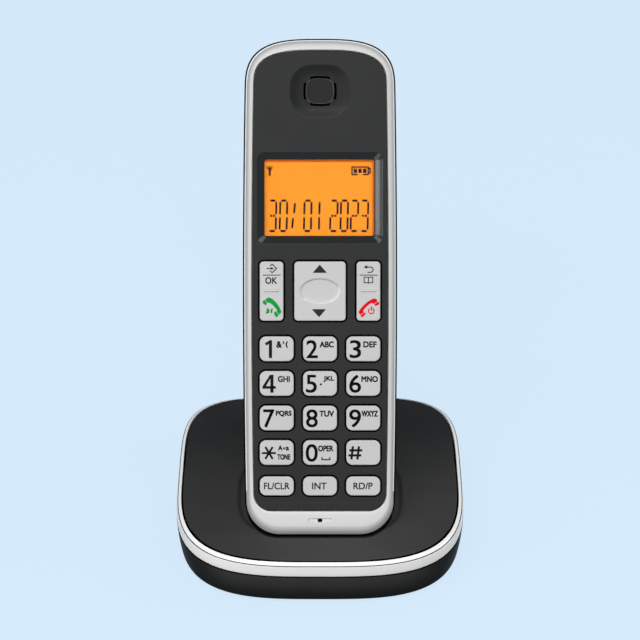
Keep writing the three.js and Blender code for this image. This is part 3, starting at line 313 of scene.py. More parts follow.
def carve(piece, *cutters):
    """Cuts forms out of a piece. Cutters that touch each other go in separate calls."""
    tool = bpy.data.objects.new("cutter", mesh_of("cutter", together(*cutters)))
    scene.collection.objects.link(tool)
    cut = piece.modifiers.new("cut", "BOOLEAN")
    cut.operation = "DIFFERENCE"
    cut.solver = "EXACT"
    cut.object = tool
    finished(piece)
    bpy.data.objects.remove(tool)


def turned_bar(profile, x, y, points=48):
    """A round piece about an upright line: its profile of radius and height, carried round."""
    circle = circle_of(points)
    return skin([raised(circle * radius + (x, y), height) for radius, height in profile])


def rounded_outline(width, height, corner, x=0, y=0, steps=10):
    """A rectangle with round corners about a middle, anticlockwise."""
    turn = np.arange(4 * (steps + 1))
    quarter = turn // (steps + 1)
    angle = (turn % (steps + 1)) * (math.pi / 2 / steps) + (quarter - 1) * math.pi / 2
    middle_x = np.array([1, 1, -1, -1])[quarter] * (width / 2 - corner)
    middle_y = np.array([-1, 1, 1, -1])[quarter] * (height / 2 - corner)
    return np.stack([x + middle_x + corner * np.cos(angle), y + middle_y + corner * np.sin(angle)], -1)


def block(low, high):
    """A box between two corners."""
    outline = np.array([(low[0], low[1]), (high[0], low[1]), (high[0], high[1]), (low[0], high[1])])
    return skin([raised(outline, low[2]), raised(outline, high[2])])


DRIFT_SIZE = 14
# Edges are paler by the mesh's pointiness: partly rubbed wear, partly a painted highlight.
EDGE_WEAR_AND_HIGHLIGHT = (0.53, 0.62)
EDGE_WEAR_AND_HIGHLIGHT_PALER = 1.7
GLOSS_SPREAD = 0.05


def plastic(name, colour, roughness, grain=0.35, mottle=0.05, wear_and_highlight=0.35, specular=0.5, bump=0.1):
    """Moulded plastic: its colour drifts a little over centimetres, a fine grain in millimetres breaks
    its gloss, and its edges are paler, partly as rubbed wear and partly as a painted highlight."""
    made = bpy.data.materials.new(name)
    made.use_nodes = True
    tree = made.node_tree
    shader = tree.nodes["Principled BSDF"]
    place = add_node(tree, "ShaderNodeTexCoord")["Object"]

    def noise(size, detail):
        inputs = {"Scale": 1 / (size * MM), "Detail": detail, "Vector": place}
        return add_node(tree, "ShaderNodeTexNoise", inputs)["Fac"]

    def spread(value, low, high, from_low=0.3, from_high=0.7):
        inputs = {"Value": value, "From Min": from_low, "From Max": from_high, "To Min": low, "To Max": high}
        return add_node(tree, "ShaderNodeMapRange", inputs)["Result"]

    def mixed(share, first, second):
        inputs = {"Factor": share, "A": first, "B": second}
        return add_node(tree, "ShaderNodeMix", inputs, data_type="RGBA")["Result"]

    def shade(amount):
        return tuple(min(1.0, c * amount) for c in colour) + (1.0,)

    drift = mixed(spread(noise(DRIFT_SIZE, 2), 0, 1), shade(1 - mottle), shade(1 + mottle))
    edge = add_node(tree, "ShaderNodeNewGeometry")["Pointiness"]
    fine = noise(grain, 3)
    rise = {"Strength": bump, "Distance": grain * MM * 0.1, "Height": fine}
    set_inputs(tree, shader, {
        "Base Color": mixed(spread(edge, 0, wear_and_highlight, *EDGE_WEAR_AND_HIGHLIGHT), drift, shade(EDGE_WEAR_AND_HIGHLIGHT_PALER)),
        "Roughness": spread(fine, roughness - GLOSS_SPREAD, roughness + GLOSS_SPREAD),
        "Normal": add_node(tree, "ShaderNodeBump", rise)["Normal"],
        "Specular IOR Level": specular,
    })
    return made


def paler_towards(made, axis, start, end, amount):
    """Scales the colour along one of the object's axes, from one at the start to an amount: a painted
    gradient of light and shade.
    """
    tree = made.node_tree
    colour = tree.nodes["Principled BSDF"].inputs["Base Color"]
    place = add_node(tree, "ShaderNodeTexCoord")["Object"]
    rise = {"From Min": start * MM, "From Max": end * MM, "To Min": 1, "To Max": amount}
    rise["Value"] = add_node(tree, "ShaderNodeSeparateXYZ", {0: place})[axis]
    rise = add_node(tree, "ShaderNodeMapRange", rise, interpolation_type="SMOOTHSTEP")
    scaled = {0: colour.links[0].from_socket, "Scale": rise["Result"]}
    scaled = add_node(tree, "ShaderNodeVectorMath", scaled, operation="SCALE")
    tree.links.new(scaled[0], colour)


# The tray's colour carries painted shade: darker towards its bottom and its left and right sides, paler to
# the front.
tray_shaded_black = plastic("tray_satin_black", (0.00022, 0.00022, 0.00021), 0.5, specular=0.02)
paler_towards(tray_shaded_black, "X", -42, -28, 5)
paler_towards(tray_shaded_black, "X", 42, 28, 5)
paler_towards(tray_shaded_black, "Z", 1, 11, 4.2)
paler_towards(tray_shaded_black, "Y", -28, -54, 2.0)

tray_rings = [raised(base_outline(TRAY_SIDE[0][0] + 1.2), TRAY_FLOOR)]
for inset, height in (*smooth_line(TRAY_SIDE, 8), *TRAY_RIM, (TRAY_WALL, TRAY_TOP), (TRAY_WALL, FLOOR_TOP)):
    tray_rings.append(raised(base_outline(inset), height))
tray = add_piece(
    "base_tray", on_base(skin(tray_rings)), "base", tray_shaded_black, ["base_bottom_cover"]
)
foot_well = [(FOOT_WELL_RADIUS, -1), (FOOT_WELL_RADIUS, FOOT_WELL_TOP)]
head_well = [(SCREW_WELL_RADIUS, -1), (SCREW_WELL_RADIUS, SCREW_WELL_TOP)]
wells = [on_base(turned_bar(foot_well, x, y)) for x, y in FEET]
wells += [on_base(turned_bar(head_well, x, y)) for x, y in SCREW_WELLS]
carve(tray, *wells)
holes = [
    block((left, HOLE_FRONT, HOLE_LOW), (right, HOLE_BACK, HOLE_HIGH)) for left, right in SOCKET_HOLES
]
carve(tray, *[on_base(hole) for hole in holes])

# ---------------------------------------------------------------------------------------------
# Feet and base screws: soft grey rubber discs glued in their wells, and four steel screws with a
# cross in the head that reach up into the cover from below.
FOOT_PROFILE = ((3.9, 0), (4.25, 0.08), (4.5, 0.35), (4.5, 1.5))
SCREW_HEAD, SCREW_HEAD_RADIUS, SCREW_RADIUS, SCREW_TIP = 1.4, 2.4, 1.3, 11
CROSS_DEPTH = 0.7
STREAK = 1800
rubber = plastic("foot_rubber", (0.045, 0.045, 0.048), 0.8, grain=0.6, bump=0.3, specular=0.25)


def steel_like(name, colour, roughness, brush=0.05):
    """Plated metal: smooth, with a fine streak in its gloss and slight spots of dullness."""
    made = bpy.data.materials.new(name)
    made.use_nodes = True
    tree = made.node_tree
    place = add_node(tree, "ShaderNodeTexCoord")["Object"]
    streak = add_node(tree, "ShaderNodeTexNoise", {"Scale": STREAK, "Detail": 4, "Vector": place})["Fac"]
    dull = {"To Min": roughness - brush, "To Max": roughness + brush, "Value": streak}
    tint = {"A": tuple(c * 0.88 for c in colour) + (1,), "B": tuple(colour) + (1,), "Factor": streak}
    set_inputs(tree, tree.nodes["Principled BSDF"], {
        "Metallic": 1,
        "Roughness": add_node(tree, "ShaderNodeMapRange", dull)["Result"],
        "Base Color": add_node(tree, "ShaderNodeMix", tint, data_type="RGBA")["Result"],
    })
    return made


steel = steel_like("plated_steel", (0.56, 0.57, 0.58), 0.32)


def screw_form(x, y, head, head_radius, shank_radius, tip):
    """A screw that points up: a domed head from below with a cross sunk in it, where the depth falls
    off away from two crossing bars, and a plain shank."""
    circle = circle_of(64)
    rings = []
    for share in np.linspace(0.04, 1, 22):
        place = circle * head_radius * share
        bar = np.minimum(np.abs(place[:, 0]), np.abs(place[:, 1]))
        within = np.clip((0.42 - bar) / 0.16, 0, 1) * np.clip((0.72 - share) / 0.16, 0, 1)
        dome = 0.35 * share**2
        rings.append(raised(place + (x, y), head + dome + CROSS_DEPTH * within))
    for radius, height in ((head_radius, head + 1.3), (shank_radius, head + 1.3), (shank_radius, tip)):
        rings.append(raised(circle * radius + (x, y), height))
    return skin(rings)


for i, place in enumerate(FEET, 1):
    form = on_base(turned_bar(FOOT_PROFILE, *place))
    add_piece(f"rubber_foot_{i}", form, "base", rubber, [f"base_foot_{i}"])
for i, place in enumerate(SCREW_WELLS, 1):
    form = on_base(screw_form(*place, SCREW_HEAD, SCREW_HEAD_RADIUS, SCREW_RADIUS, SCREW_TIP))
    add_piece(f"cross_screw_{i}", form, "base", steel, [f"base_screw_{i}"])

# ---------------------------------------------------------------------------------------------
# Rim ring: a silver-painted band that lies on the lower shell and closes the edge of the cover.
# A fine notch, painted near black as shadow, runs round it, and above the notch its edge is a sloping bevel.
# Each row of its profile: how far it is set in from the base's outline, and its height.
RING_PROFILE = (
    (1.6, 11.5), (0.2, 11.5), (0.03, 11.58), (0.0, 11.8), (0.1, 12.9), (0.2, 13.9),
    (0.3, 14.78), (0.33, 14.91), (0.38, 14.96), (0.42, 14.94), (0.44, 14.6), (0.64, 14.6), (0.64, 15.1),
    (0.68, 15.2), (1.1, 15.56), (1.5, 15.86), (1.58, 15.94), (1.6, 15.9),
)
NOTCH_ROWS = (9, 10, 11)
RING_SILVER = (0.95, 0.935, 0.92)
SEAM_HEIGHTS = (10.95, 11.15)
ring_paint = plastic("ring_paint", RING_SILVER, 0.24, 0.25, 0.01, wear_and_highlight=0, specular=0.7, bump=0.02)
ring_form = skin([raised(base_outline(inset), height) for inset, height in RING_PROFILE], tube=True)
ring = add_piece("rim_band", on_base(ring_form), "base", ring_paint, ["base_rim_ring"])


def painted(piece, finish, test):
    """Gives another material to the faces whose middles, in millimetres, pass a test."""
    mesh = piece.data
    middle = np.empty(len(mesh.polygons) * 3)
    mesh.polygons.foreach_get("center", middle)
    index = np.empty(len(mesh.polygons), np.int32)
    mesh.polygons.foreach_get("material_index", index)
    index[test(*(middle.reshape(-1, 3) / MM).T)] = len(mesh.materials)
    mesh.materials.append(finish)
    mesh.polygons.foreach_set("material_index", index)


# Painted shadow, near black, where light hardly reaches: the notch, and the seam between the ring and the
# lower shell.
painted_shadow = plastic("shadow_black", (0.0012, 0.0012, 0.0012), 0.9, specular=0, bump=0)
painted(ring, painted_shadow, lambda x, y, z: np.isin(np.arange(len(x)) // BASE_POINTS, NOTCH_ROWS))
painted(tray, painted_shadow, lambda x, y, z: (z > SEAM_HEIGHTS[0]) & (z < SEAM_HEIGHTS[1]))

# ---------------------------------------------------------------------------------------------
# Base cover: one black moulding. Its top is flat, with a shallow step round the pocket. The pocket
# follows the handset's own rounded back with a small gap all round.
HANDSET_LENGTH = 157
HALF_WIDTH = 24.4
CORNER_POWER = 3.1
BOTTOM_CORNER = 10.6
TOP_CORNER = 16.3
REAR_DEPTH = 25
REAR_POWER = 3
PARTING = 3.4
LEAN = math.radians(30)
END_Y = -31.6
END_Z = 15.5
POCKET_GAP = 0.6
POCKET_FOOT_Y, POCKET_FOOT_Z = -12.44, 7.14
MOUTH_Y = POCKET_FOOT_Y - 2.9
COVER_TOP = 16
COVER_INSET = 2
COVER_FOOT = 11.6
COVER_WALL = 1.5
STEP_FLOOR = 15.3
STEP_MIDDLE = -9.5
STEP_POWER = 3.1
TURNS = 480
HALVINGS = 26
# The two slots in the pocket's floor through which the charging contacts reach.
CONTACT_X = 8
CONTACT_HALF = 1.5
CONTACT_FRONT, CONTACT_BACK = -14.2, -10.4


def barrel(along):
    """Half the handset's width: full near the middle of its length, less by a square law to the ends."""
    return HALF_WIDTH - 0.6 * ((along / HANDSET_LENGTH - 0.478) / 0.414) ** 2


def side_reach(along, inset):
    """How far the handset's outline reaches to the side, at a place along it and set in by inset: the
    barrel's width, less round corners below, and narrowed by a superellipse above."""
    left = 1 - inset / HALF_WIDTH
    corner = BOTTOM_CORNER * left
    low = np.clip(1 - (along - inset) / corner, 0, 1)
    high = np.clip(1 - (HANDSET_LENGTH - inset - along) / (TOP_CORNER * left), 0, 1)
    reach = barrel(along) - inset - corner * (1 - np.sqrt(1 - low**2))
    return reach * (1 - high**CORNER_POWER) ** (1 / CORNER_POWER)


def in_pocket(x, y, z):
    """True within the handset's back, grown by the pocket's gap: the outline is set in by a
    superellipse law as the depth grows."""
    over = y - END_Y
    up = z - END_Z
    along = math.sin(LEAN) * over + math.cos(LEAN) * up
    out = -math.cos(LEAN) * over + math.sin(LEAN) * up
    deep = np.clip((-PARTING - out) / (REAR_DEPTH + POCKET_GAP), 0, 2)
    law = 1 - np.clip(1 - deep**REAR_POWER, 0, 1) ** (1 / REAR_POWER)
    inset = -POCKET_GAP + (HALF_WIDTH + POCKET_GAP) * law
    inside = (deep < 1) & (along > inset) & (along < HANDSET_LENGTH - inset)
    return inside & (np.abs(x) < side_reach(np.where(inside, along, 70), np.minimum(inset, 24)))


def ray_ring(reach, middle_y, height):
    """A level ring of points, each as far from a point on the middle line as its reach."""
    return raised(np.reshape(reach, (-1, 1)) * circle_of(TURNS) + (0, middle_y), height)


def reach_of(inside, middle_y, farthest=70):
    """How far a flat shape reaches from a point on the middle line, in each direction round: the range
    is halved until the edge is found."""
    low, high = np.zeros(TURNS), np.full(TURNS, float(farthest))
    for _ in range(HALVINGS):
        half = (low + high) / 2
        x, y, z = ray_ring(half, middle_y, 0).T
        within = inside(x, y)
        low, high = np.where(within, half, low), np.where(within, high, half)
    return low


def squircle_test(half_width, half_depth, middle, front, back):
    """Inside where the two shares of reach, each to its power, add up to less than one."""
    def inside(x, y):
        power = np.where(y < middle, front, back)
        return np.abs(x / half_width) ** power + np.abs((y - middle) / half_depth) ** power < 1
    return inside


# The cover's colour carries painted light and shade: paler to the front, darker to the back and sides.
base_shaded_black = plastic("base_satin_black", (0.0306, 0.0303, 0.03), 0.45, specular=0.025)
paler_towards(base_shaded_black, "Y", 25, -22, 1.96)
paler_towards(base_shaded_black, "X", -4, -38, 0.66)
paler_towards(base_shaded_black, "X", 10, 42, 0.74)
deck_rings = []
for rise in np.sin(np.linspace(0.12, 1, 18) * math.pi / 2):
    height = POCKET_FOOT_Z + (STEP_FLOOR - 0.15 - POCKET_FOOT_Z) * rise**1.4
    middle = POCKET_FOOT_Y + (MOUTH_Y - POCKET_FOOT_Y) * rise
    reach = reach_of(lambda x, y: in_pocket(x, y, height), middle)
    deck_rings.append(ray_ring(reach, middle, height))
mouth = reach_of(lambda x, y: in_pocket(x, y, STEP_FLOOR), MOUTH_Y)
deck_rings += [ray_ring(mouth + rim, MOUTH_Y, STEP_FLOOR) for rim in (0.12, 0.3)]
step_foot, step_edge = [
    reach_of(squircle_test(half, half - 3.9, STEP_MIDDLE, STEP_POWER, STEP_POWER), MOUTH_Y)
    for half in (25.4, 26.8)
]
step_foot = np.maximum(step_foot, mouth + 0.35)
step_edge = np.maximum(step_edge, step_foot + 0.35)


def inside_cover(inset):
    """A test for the base's own outline, set in."""
    return squircle_test(BASE_HALF_WIDTH - inset, BASE_HALF_DEPTH - inset, 0, FRONT_POWER, BACK_POWER)


# Rings from the step's foot to its edge, and on to the cover's: shares of the way, and heights.
edge = reach_of(inside_cover(COVER_INSET), MOUTH_Y)
STEP_ROWS = ((0, STEP_FLOOR), (0.12, 15.32), (0.3, 15.42), (0.7, 15.75), (0.88, 15.86), (1, 15.9))
TOP_ROWS = ((0.04, 15.9), (0.12, 15.88), (0.25, 15.93), (0.4, 15.98), (0.6, COVER_TOP), (0.8, COVER_TOP))
for near, far, rows in ((step_foot, step_edge, STEP_ROWS), (step_edge, edge, TOP_ROWS)):
    deck_rings += [ray_ring(near + (far - near) * share, MOUTH_Y, height) for share, height in rows]
EDGE_ROWS = ((0.4, COVER_TOP), (0.22, 15.98), (0.12, 15.95), (0.03, 15.86), (0, 15.7), (0, COVER_FOOT))
deck_rings += [ray_ring(edge - back, MOUTH_Y, height) for back, height in EDGE_ROWS]
deck_form = on_base(skin(deck_rings, open_end=True))
deck = add_piece("base_deck", deck_form, "base", base_shaded_black, ["base_top_cover"])
wall = deck.modifiers.new("wall", "SOLIDIFY")
wall.thickness = COVER_WALL * MM
wall.offset = -1
finished(deck)
slots = []
for middle in (-CONTACT_X, CONTACT_X):
    left, right = middle - CONTACT_HALF, middle + CONTACT_HALF
    slots.append(on_base(block((left, CONTACT_FRONT, 4), (right, CONTACT_BACK, 8.6))))
carve(deck, *slots)
# The cover's own edge, in the seam between it and the ring, is in shadow.
seam_test = inside_cover(COVER_INSET + 0.28)
painted(deck, painted_shadow, lambda x, y, z: ~seam_test(x, y - BASE_MIDDLE_Y))

# The back rest stands up behind the pocket as part of the same moulding: its front is hollowed to
# the handset's back, its shoulders are round and its back sweeps down to the deck.
REST_HALF_WIDTH = 20
REST_TOP = 42
REST_ROUND = 1.3
SHOULDER = 9
SKIRT_TOP = 16.9
REST_POINTS = 160
REST_POWER = 7
# The line of its back on the middle of the base: how far back, and how high.
REST_BACK = ((39.4, 15.2), (38.2, 15.95), (36.9, 16.5), (34.6, 18.5), (30.3, 23.5), (26.4, 29.5),
             (23.4, 35), (21.4, 39), (20.6, 42))


def rest_front(x, z):
    """Where the grown back of the handset stands at a height: its depth follows the superellipse
    across the width, and leans with the handset."""
    share = np.clip((np.abs(x) + HALF_WIDTH - 24.0) / (HALF_WIDTH + POCKET_GAP), 0, 0.97)
    out = -PARTING - (REAR_DEPTH + POCKET_GAP) * (1 - share**REAR_POWER) ** (1 / REAR_POWER)
    along = (z - END_Z - math.sin(LEAN) * out) / math.cos(LEAN)
    return END_Y + math.sin(LEAN) * along - math.cos(LEAN) * out


round_way = circle_of(REST_POINTS)
across, through = (np.sign(round_way) * np.abs(round_way) ** (2 / REST_POWER)).T
back_line = smooth_line(REST_BACK, 8)
order = np.argsort(back_line[:, 1])
rest_rings = []
heights = [(z, 0) for z in (14.3, 15.2, 15.8, 16.3, 17, *np.linspace(18, REST_TOP - REST_ROUND, 22))]
for angle in np.linspace(0.15, 1, 8) * math.pi / 2:
    heights.append((REST_TOP - REST_ROUND * (1 - math.sin(angle)), REST_ROUND * (1 - math.cos(angle))))
for z, inset in heights:
    over = max(0, z - REST_TOP + SHOULDER) / SHOULDER
    shoulder = min(SHOULDER * (1 - math.sqrt(max(0, 1 - over**2))), 7.5)
    skirt = min(max(0, SKIRT_TOP - z) ** 2, 1)
    x = across * (REST_HALF_WIDTH - shoulder - inset + skirt)
    back = np.interp(z, back_line[order, 1], back_line[order, 0]) - inset
    front = rest_front(x, z) + 0.02 + inset
    y = front + (through + 1) / 2 * (back - front)
    rest_rings.append(raised(np.stack([x, y], -1), z))
add_piece("back_rest", on_base(skin(rest_rings)), "base", base_shaded_black)

# ---------------------------------------------------------------------------------------------
# Rear shell of the handset: a deep black moulding with a rounded back. The door's opening, the
# ringer's slots, two screw wells and two wells for the charging pads are cut through its wall.
SHELL_WALL = 1.8
BACK_ROWS = 34
END_STEPS = 30
SIDE_STEPS = 40
BARE_REACH = 0.02
DOOR_MIDDLE = 84.455
DOOR_WIDTH = 27.0
DOOR_LENGTH = 56.0
DOOR_CORNER = 2.5
SEAT_GAP = 0.3
RINGER_MIDDLE = 127.955
SCREW_X = 15.5
PAD_X = 8.0
PAD_BASE_Y = -12.3
WELL_RADIUS = 2.5
CUT_DEPTHS = (-34, -22)
SIDES = ((-1, "left"), (1, "right"))


def lean(form):
    """Moves a form from the handset's own frame (across, along, out of the face) to where the handset
    leans in the base."""
    points, faces = form
    x, along, out = points.T
    y = END_Y + BASE_MIDDLE_Y + math.sin(LEAN) * along - math.cos(LEAN) * out
    z = END_Z + math.cos(LEAN) * along + math.sin(LEAN) * out
    return np.stack([x, y, z], -1), faces


def upright(x, y, z):
    """The way back from lean: across, along and out of the face, in millimetres."""
    y = y - END_Y - BASE_MIDDLE_Y
    z = z - END_Z
    return x, math.sin(LEAN) * y + math.cos(LEAN) * z, math.sin(LEAN) * z - math.cos(LEAN) * y


def painted_upright(piece, finish, test):
    """As painted, with the test in the handset's own frame."""
    painted(piece, finish, lambda x, y, z: test(*upright(x, y, z)))


def handset_outline(inset, bottom, top, bottom_corner, top_corner):
    """The handset from the front: barrel-shaped sides, round corners below and one arch above, which
    is a superellipse."""
    turn = np.linspace(0, math.pi / 2, END_STEPS + 1)
    bottom_corner = min(bottom_corner, 0.85 * (barrel(bottom) - inset))
    low = bottom + bottom_corner * (1 - np.cos(turn))
    corner = np.maximum(barrel(low) - inset, BARE_REACH) - bottom_corner * (1 - np.sin(turn))
    flat = np.linspace(0, corner[0], 8)[:-1]
    rise = 1 - np.abs(np.cos(turn)) ** (2 / CORNER_POWER)
    high = (top - top_corner * rise)[::-1]
    arch = np.maximum(barrel(high) - inset, BARE_REACH) * np.sin(turn[::-1]) ** (2 / CORNER_POWER)
    side = np.linspace(low[-1], high[0], SIDE_STEPS + 1)[1:-1]
    along = np.concatenate([np.full(len(flat), float(bottom)), low, side, high])
    sides = np.maximum(barrel(side) - inset, BARE_REACH)
    reach = np.concatenate([flat, np.maximum(corner, 0), sides, arch])
    right = np.stack([reach, along], -1)
    return np.vstack([right, right[-2:0:-1] * (-1, 1)])


def shell_outline(inset):
    """The handset's own outline, set in, with its corners less in the same share."""
    left = 1 - inset / HALF_WIDTH
    end = HANDSET_LENGTH - inset
    return handset_outline(inset, inset, end, BOTTOM_CORNER * left, TOP_CORNER * left)


def back_rings(offset):
    """The rounded back, set in by a wall: the outline's inset and its depth are powers of the cosine
    and sine of one angle."""
    rings = []
    for share in (1 - np.cos(np.arange(BACK_ROWS) / (BACK_ROWS - 1) * math.pi)) / 2:
        angle = share * 0.985 * math.pi / 2
        inset = offset + (HALF_WIDTH - offset) * (1 - math.cos(angle) ** (2 / REAR_POWER))
        depth = (REAR_DEPTH - offset) * math.sin(angle) ** (2 / REAR_POWER)
        rings.append(raised(shell_outline(inset), -PARTING - depth))
    return rings


def rear_height(x, along):
    """How far out of the face the back lies, below zero, at a place across and along."""
    share = np.clip((np.abs(x) + HALF_WIDTH - barrel(along)) / HALF_WIDTH, 0, 1)
    return -PARTING - REAR_DEPTH * (1 - share**REAR_POWER) ** (1 / REAR_POWER)


def prism(outline, low, high):
    """A flat outline pulled from one height to another."""
    return skin([raised(outline, low), raised(outline, high)])


handset_black = plastic("handset_satin_black", BLACK, 0.42, specular=0.08)
rear_form = lean(skin(back_rings(0)[::-1] + back_rings(SHELL_WALL)))
rear = add_piece("rear_shell", rear_form, "handset", handset_black, ["handset_rear_cover"])
opening = rounded_outline(
    DOOR_WIDTH + 2 * SEAT_GAP, DOOR_LENGTH + 2 * SEAT_GAP, DOOR_CORNER + SEAT_GAP, 0, DOOR_MIDDLE
)
rear_cuts = [lean(prism(opening, *CUT_DEPTHS))]
for row in range(-2, 3):
    slot_length = 13 * math.sqrt(1 - (row / 5) ** 2)
    slot_outline = rounded_outline(slot_length, 1.3, 0.64, 0, RINGER_MIDDLE + 3 * row)
    rear_cuts.append(lean(prism(slot_outline, *CUT_DEPTHS)))
for side, name in SIDES:
    screw_well = [(WELL_RADIUS, CUT_DEPTHS[0]), (WELL_RADIUS, -18)]
    rear_cuts.append(lean(turned_bar(screw_well, side * SCREW_X, RINGER_MIDDLE)))
    pad_well = [(WELL_RADIUS, 4), (WELL_RADIUS, 12)]
    rear_cuts.append(on_base(turned_bar(pad_well, side * PAD_X, PAD_BASE_Y)))
carve(rear, *rear_cuts)
# The band of the shell next to the parting is painted near black as shadow.
painted_upright(rear, painted_shadow, lambda x, along, out: out > -PARTING - 1.3)

# Screw bosses of the shell: each is a black sleeve whose lower end follows the curve of the wall.
BOSS_PROFILE = ((3.7, -19.2), (3.7, None), (2.5, None), (2.5, -20.5), (1.6, -20.5), (1.6, -19.2))
for side, name in SIDES:
    boss_rings = []
    for radius, out in BOSS_PROFILE:
        circle = circle_of(48) * radius + (side * SCREW_X, RINGER_MIDDLE)
        boss_rings.append(raised(circle, rear_height(*circle.T) + 0.9 if out is None else out))
    boss = lean(skin(boss_rings, tube=True))
    add_piece("screw_boss_" + name, boss, "handset", handset_black)
    screw = lean(screw_form(side * SCREW_X, RINGER_MIDDLE, -22.1, 2.2, 1.2, -5.3))
    node = "handset_screw_" + name
    add_piece("handset_cross_screw_" + name, screw, "handset", steel, [node])

# ---------------------------------------------------------------------------------------------
# Battery bay and door: a black tray with a ledge round its mouth holds two cells. The door is a
# slice of the same rounded back, with three grip ribs near its lower end, and pulls straight off.
POCKET = (22.3, 46.9)
CELL_X = 5.6
CELL_AXIS = -20.95
CELL_LOW = 62.2
CELL_HIGH = 106.71
DOOR_THICKNESS = 1.6
DOOR_ROUND = 0.3
DOOR_ROWS = 200
RIB_DEPTH = 0.3
RIB_STEP = 1.1


def tray_ring(width, length, corner, out):
    """A round-cornered ring about the door's middle."""
    return raised(rounded_outline(width, length, corner, 0, DOOR_MIDDLE), out)


bay_rings = [
    tray_ring(24.7, 49.3, 1.8, -14.2), tray_ring(24.7, 49.3, 1.8, -24.0),
    tray_ring(30.6, 60.2, 3.0, -24.0), tray_ring(30.6, 60.2, 3.0, -25.2),
    tray_ring(*POCKET, 0.6, -25.2), tray_ring(*POCKET, 0.6, -15.4),
]
add_piece("battery_bay", lean(skin(bay_rings)), "handset", handset_black)


def door_form():
    """Cross-sections of the door from its lower end to its upper one. Each runs across the outer face,
    round a small edge and back across the inner face. The corners narrow the first and last ones."""
    start = np.array([0, 0.04, 0.15])
    middle = np.linspace(DOOR_ROUND, DOOR_LENGTH - DOOR_ROUND, DOOR_ROWS)
    ends = np.concatenate([start, middle, DOOR_LENGTH - start[::-1]])
    start = np.array([-1, -0.995, -0.985, -0.97])
    across = np.concatenate([start, np.linspace(-0.94, 0.94, 41), -start[::-1]])
    rings = []
    for far in ends:
        near = min(far, DOOR_LENGTH - far)
        corner = DOOR_CORNER - math.sqrt(max(0, DOOR_CORNER**2 - max(0, DOOR_CORNER - near) ** 2))
        half = DOOR_WIDTH / 2 - corner
        x = across * half
        along = DOOR_MIDDLE - DOOR_LENGTH / 2 + far
        close = np.minimum(near, half * (1 - np.abs(across)))
        short = np.clip(DOOR_ROUND - close, 0, DOOR_ROUND)
        edge = DOOR_ROUND - np.sqrt(np.clip(DOOR_ROUND**2 - short**2, 0, 1))
        rib = RIB_DEPTH * max(0, math.cos((far - 6) * math.pi / RIB_STEP)) if 4.9 < far < 11.0 else 0
        grip = rib * np.clip((8.2 - np.abs(x)) / 0.8, 0, 1)
        outer = rear_height(x, along) + edge - grip
        inner = rear_height(x, along) + DOOR_THICKNESS
        low = np.column_stack([x, np.full(len(x), along), outer])
        high = np.column_stack([x[::-1], np.full(len(x), along), inner[::-1]])
        rings.append(np.vstack([low, high]))
    return skin(rings)


add_piece("battery_cover", lean(door_form()), "battery_door", handset_black, ["battery_door"])


def cell_form(side, profile):
    """A cell turned about a line that runs along the handset: each row is a radius and a distance from
    its flat end. The two cells lie opposite ways round."""
    circle = circle_of(64)
    rings = []
    for radius, far in profile:
        along = CELL_LOW + far if side < 0 else CELL_HIGH - far
        x, out = (circle * radius + (side * CELL_X, CELL_AXIS)).T
        rings.append(np.column_stack([x, np.full(len(x), along), out]))
    return lean(skin(rings))


# Profile of a cell by distance from its flat end: a crimped rim, the wrapped can and the raised tip.
# The bare metal of its two ends stands just proud of the wrap.
CELL_SHAPE = (
    (4.2, 0.0), (4.4, 0.15), (4.9, 0.15), (5.2, 0.35), (5.25, 0.7), (5.25, 42.6), (5.15, 42.9),
    (4.8, 43.1), (4.2, 43.1), (4.0, 43.4), (2.7, 43.45), (2.6, 43.6), (2.55, 44.35), (2.4, 44.51),
)
CELL_ENDS = {
    "flat": ((3.9, -0.02), (4.25, 0.1)),
    "tip": ((3.2, 43.42), (2.65, 43.5), (2.62, 44.35), (2.45, 44.53)),
}
cell_wrap = plastic("cell_wrap", (0.05, 0.24, 0.09), 0.3, grain=0.5, specular=0.5, bump=0.05)
for side, name in SIDES:
    can = cell_form(side, CELL_SHAPE)
    add_piece("wrapped_cell_" + name, can, "handset", cell_wrap, ["battery_cell_" + name])
    for end, profile in CELL_ENDS.items():
        add_piece(f"cell_{end}_{name}", cell_form(side, profile), "handset", steel)


def refinished(finish, *names):
    """Gives a finish to nodes that are shown as they are."""
    for name in names:
        nodes[name].data.materials.clear()
        nodes[name].data.materials.append(finish)


refinished(steel, "battery_terminal_left", "battery_terminal_right", "battery_bridge")

# ---------------------------------------------------------------------------------------------
# Silver frame of the handset: a bead that carries the face plate. Its face is flat, its outer edge
# slopes down to a thin rim, and the microphone's slot is sunk in its chin.
COVER_SIDE = 3.05
COVER_CHIN = 8.25
COVER_TOP_END = 153.1
COVER_BOTTOM_CORNER = 5.4
COVER_TOP_CORNER = 11.0
MIC_ALONG = 5.1
# Each step of the slot: its width, its height, its corners and how far out of the face it is cut.
MIC_SLOT = ((7.0, 0.8, 0.38, -0.25), (7.7, 1.5, 0.7, 0.3), (7.9, 1.7, 0.8, 2))
MIC_HOLE = (1.55, 1.1, 0.54)
PLATE_SEAM = 0.28
# Each row: the share of the way from the shell's outline to the plate's, how far the first is set in,
# or the second in the last rows, and how far out of the face the bead stands there.
BEAD = (
    (0, 0.8, -3.1), (0, 0.52, -3.1), (0, 0.5, -2.95), (0, 0.5, -1.5), (0, 0.52, -1.22), (0, 0.56, -1.08),
    (0, 0.64, -1.0), (0, 0.82, -0.97), (0.01, 0.94, -0.8), (0.03, 1.06, -0.62), (0.05, 1.2, -0.44),
    (0.08, 1.34, -0.28), (0.12, 1.46, -0.14), (0.17, 1.56, -0.02), (0.24, 1.66, 0.08), (0.33, 1.76, 0.15),
    (0.45, 1.84, 0.2), (0.6, 1.9, 0.24), (0.8, 1.9, 0.28), (0.93, 1.9, 0.29), (0.98, 1.9, 0.22),
    (1, -0.28, 0.1), (1, -0.28, -1.9), (1, 1.1, -1.9), (1, 1.1, -3.1),
)


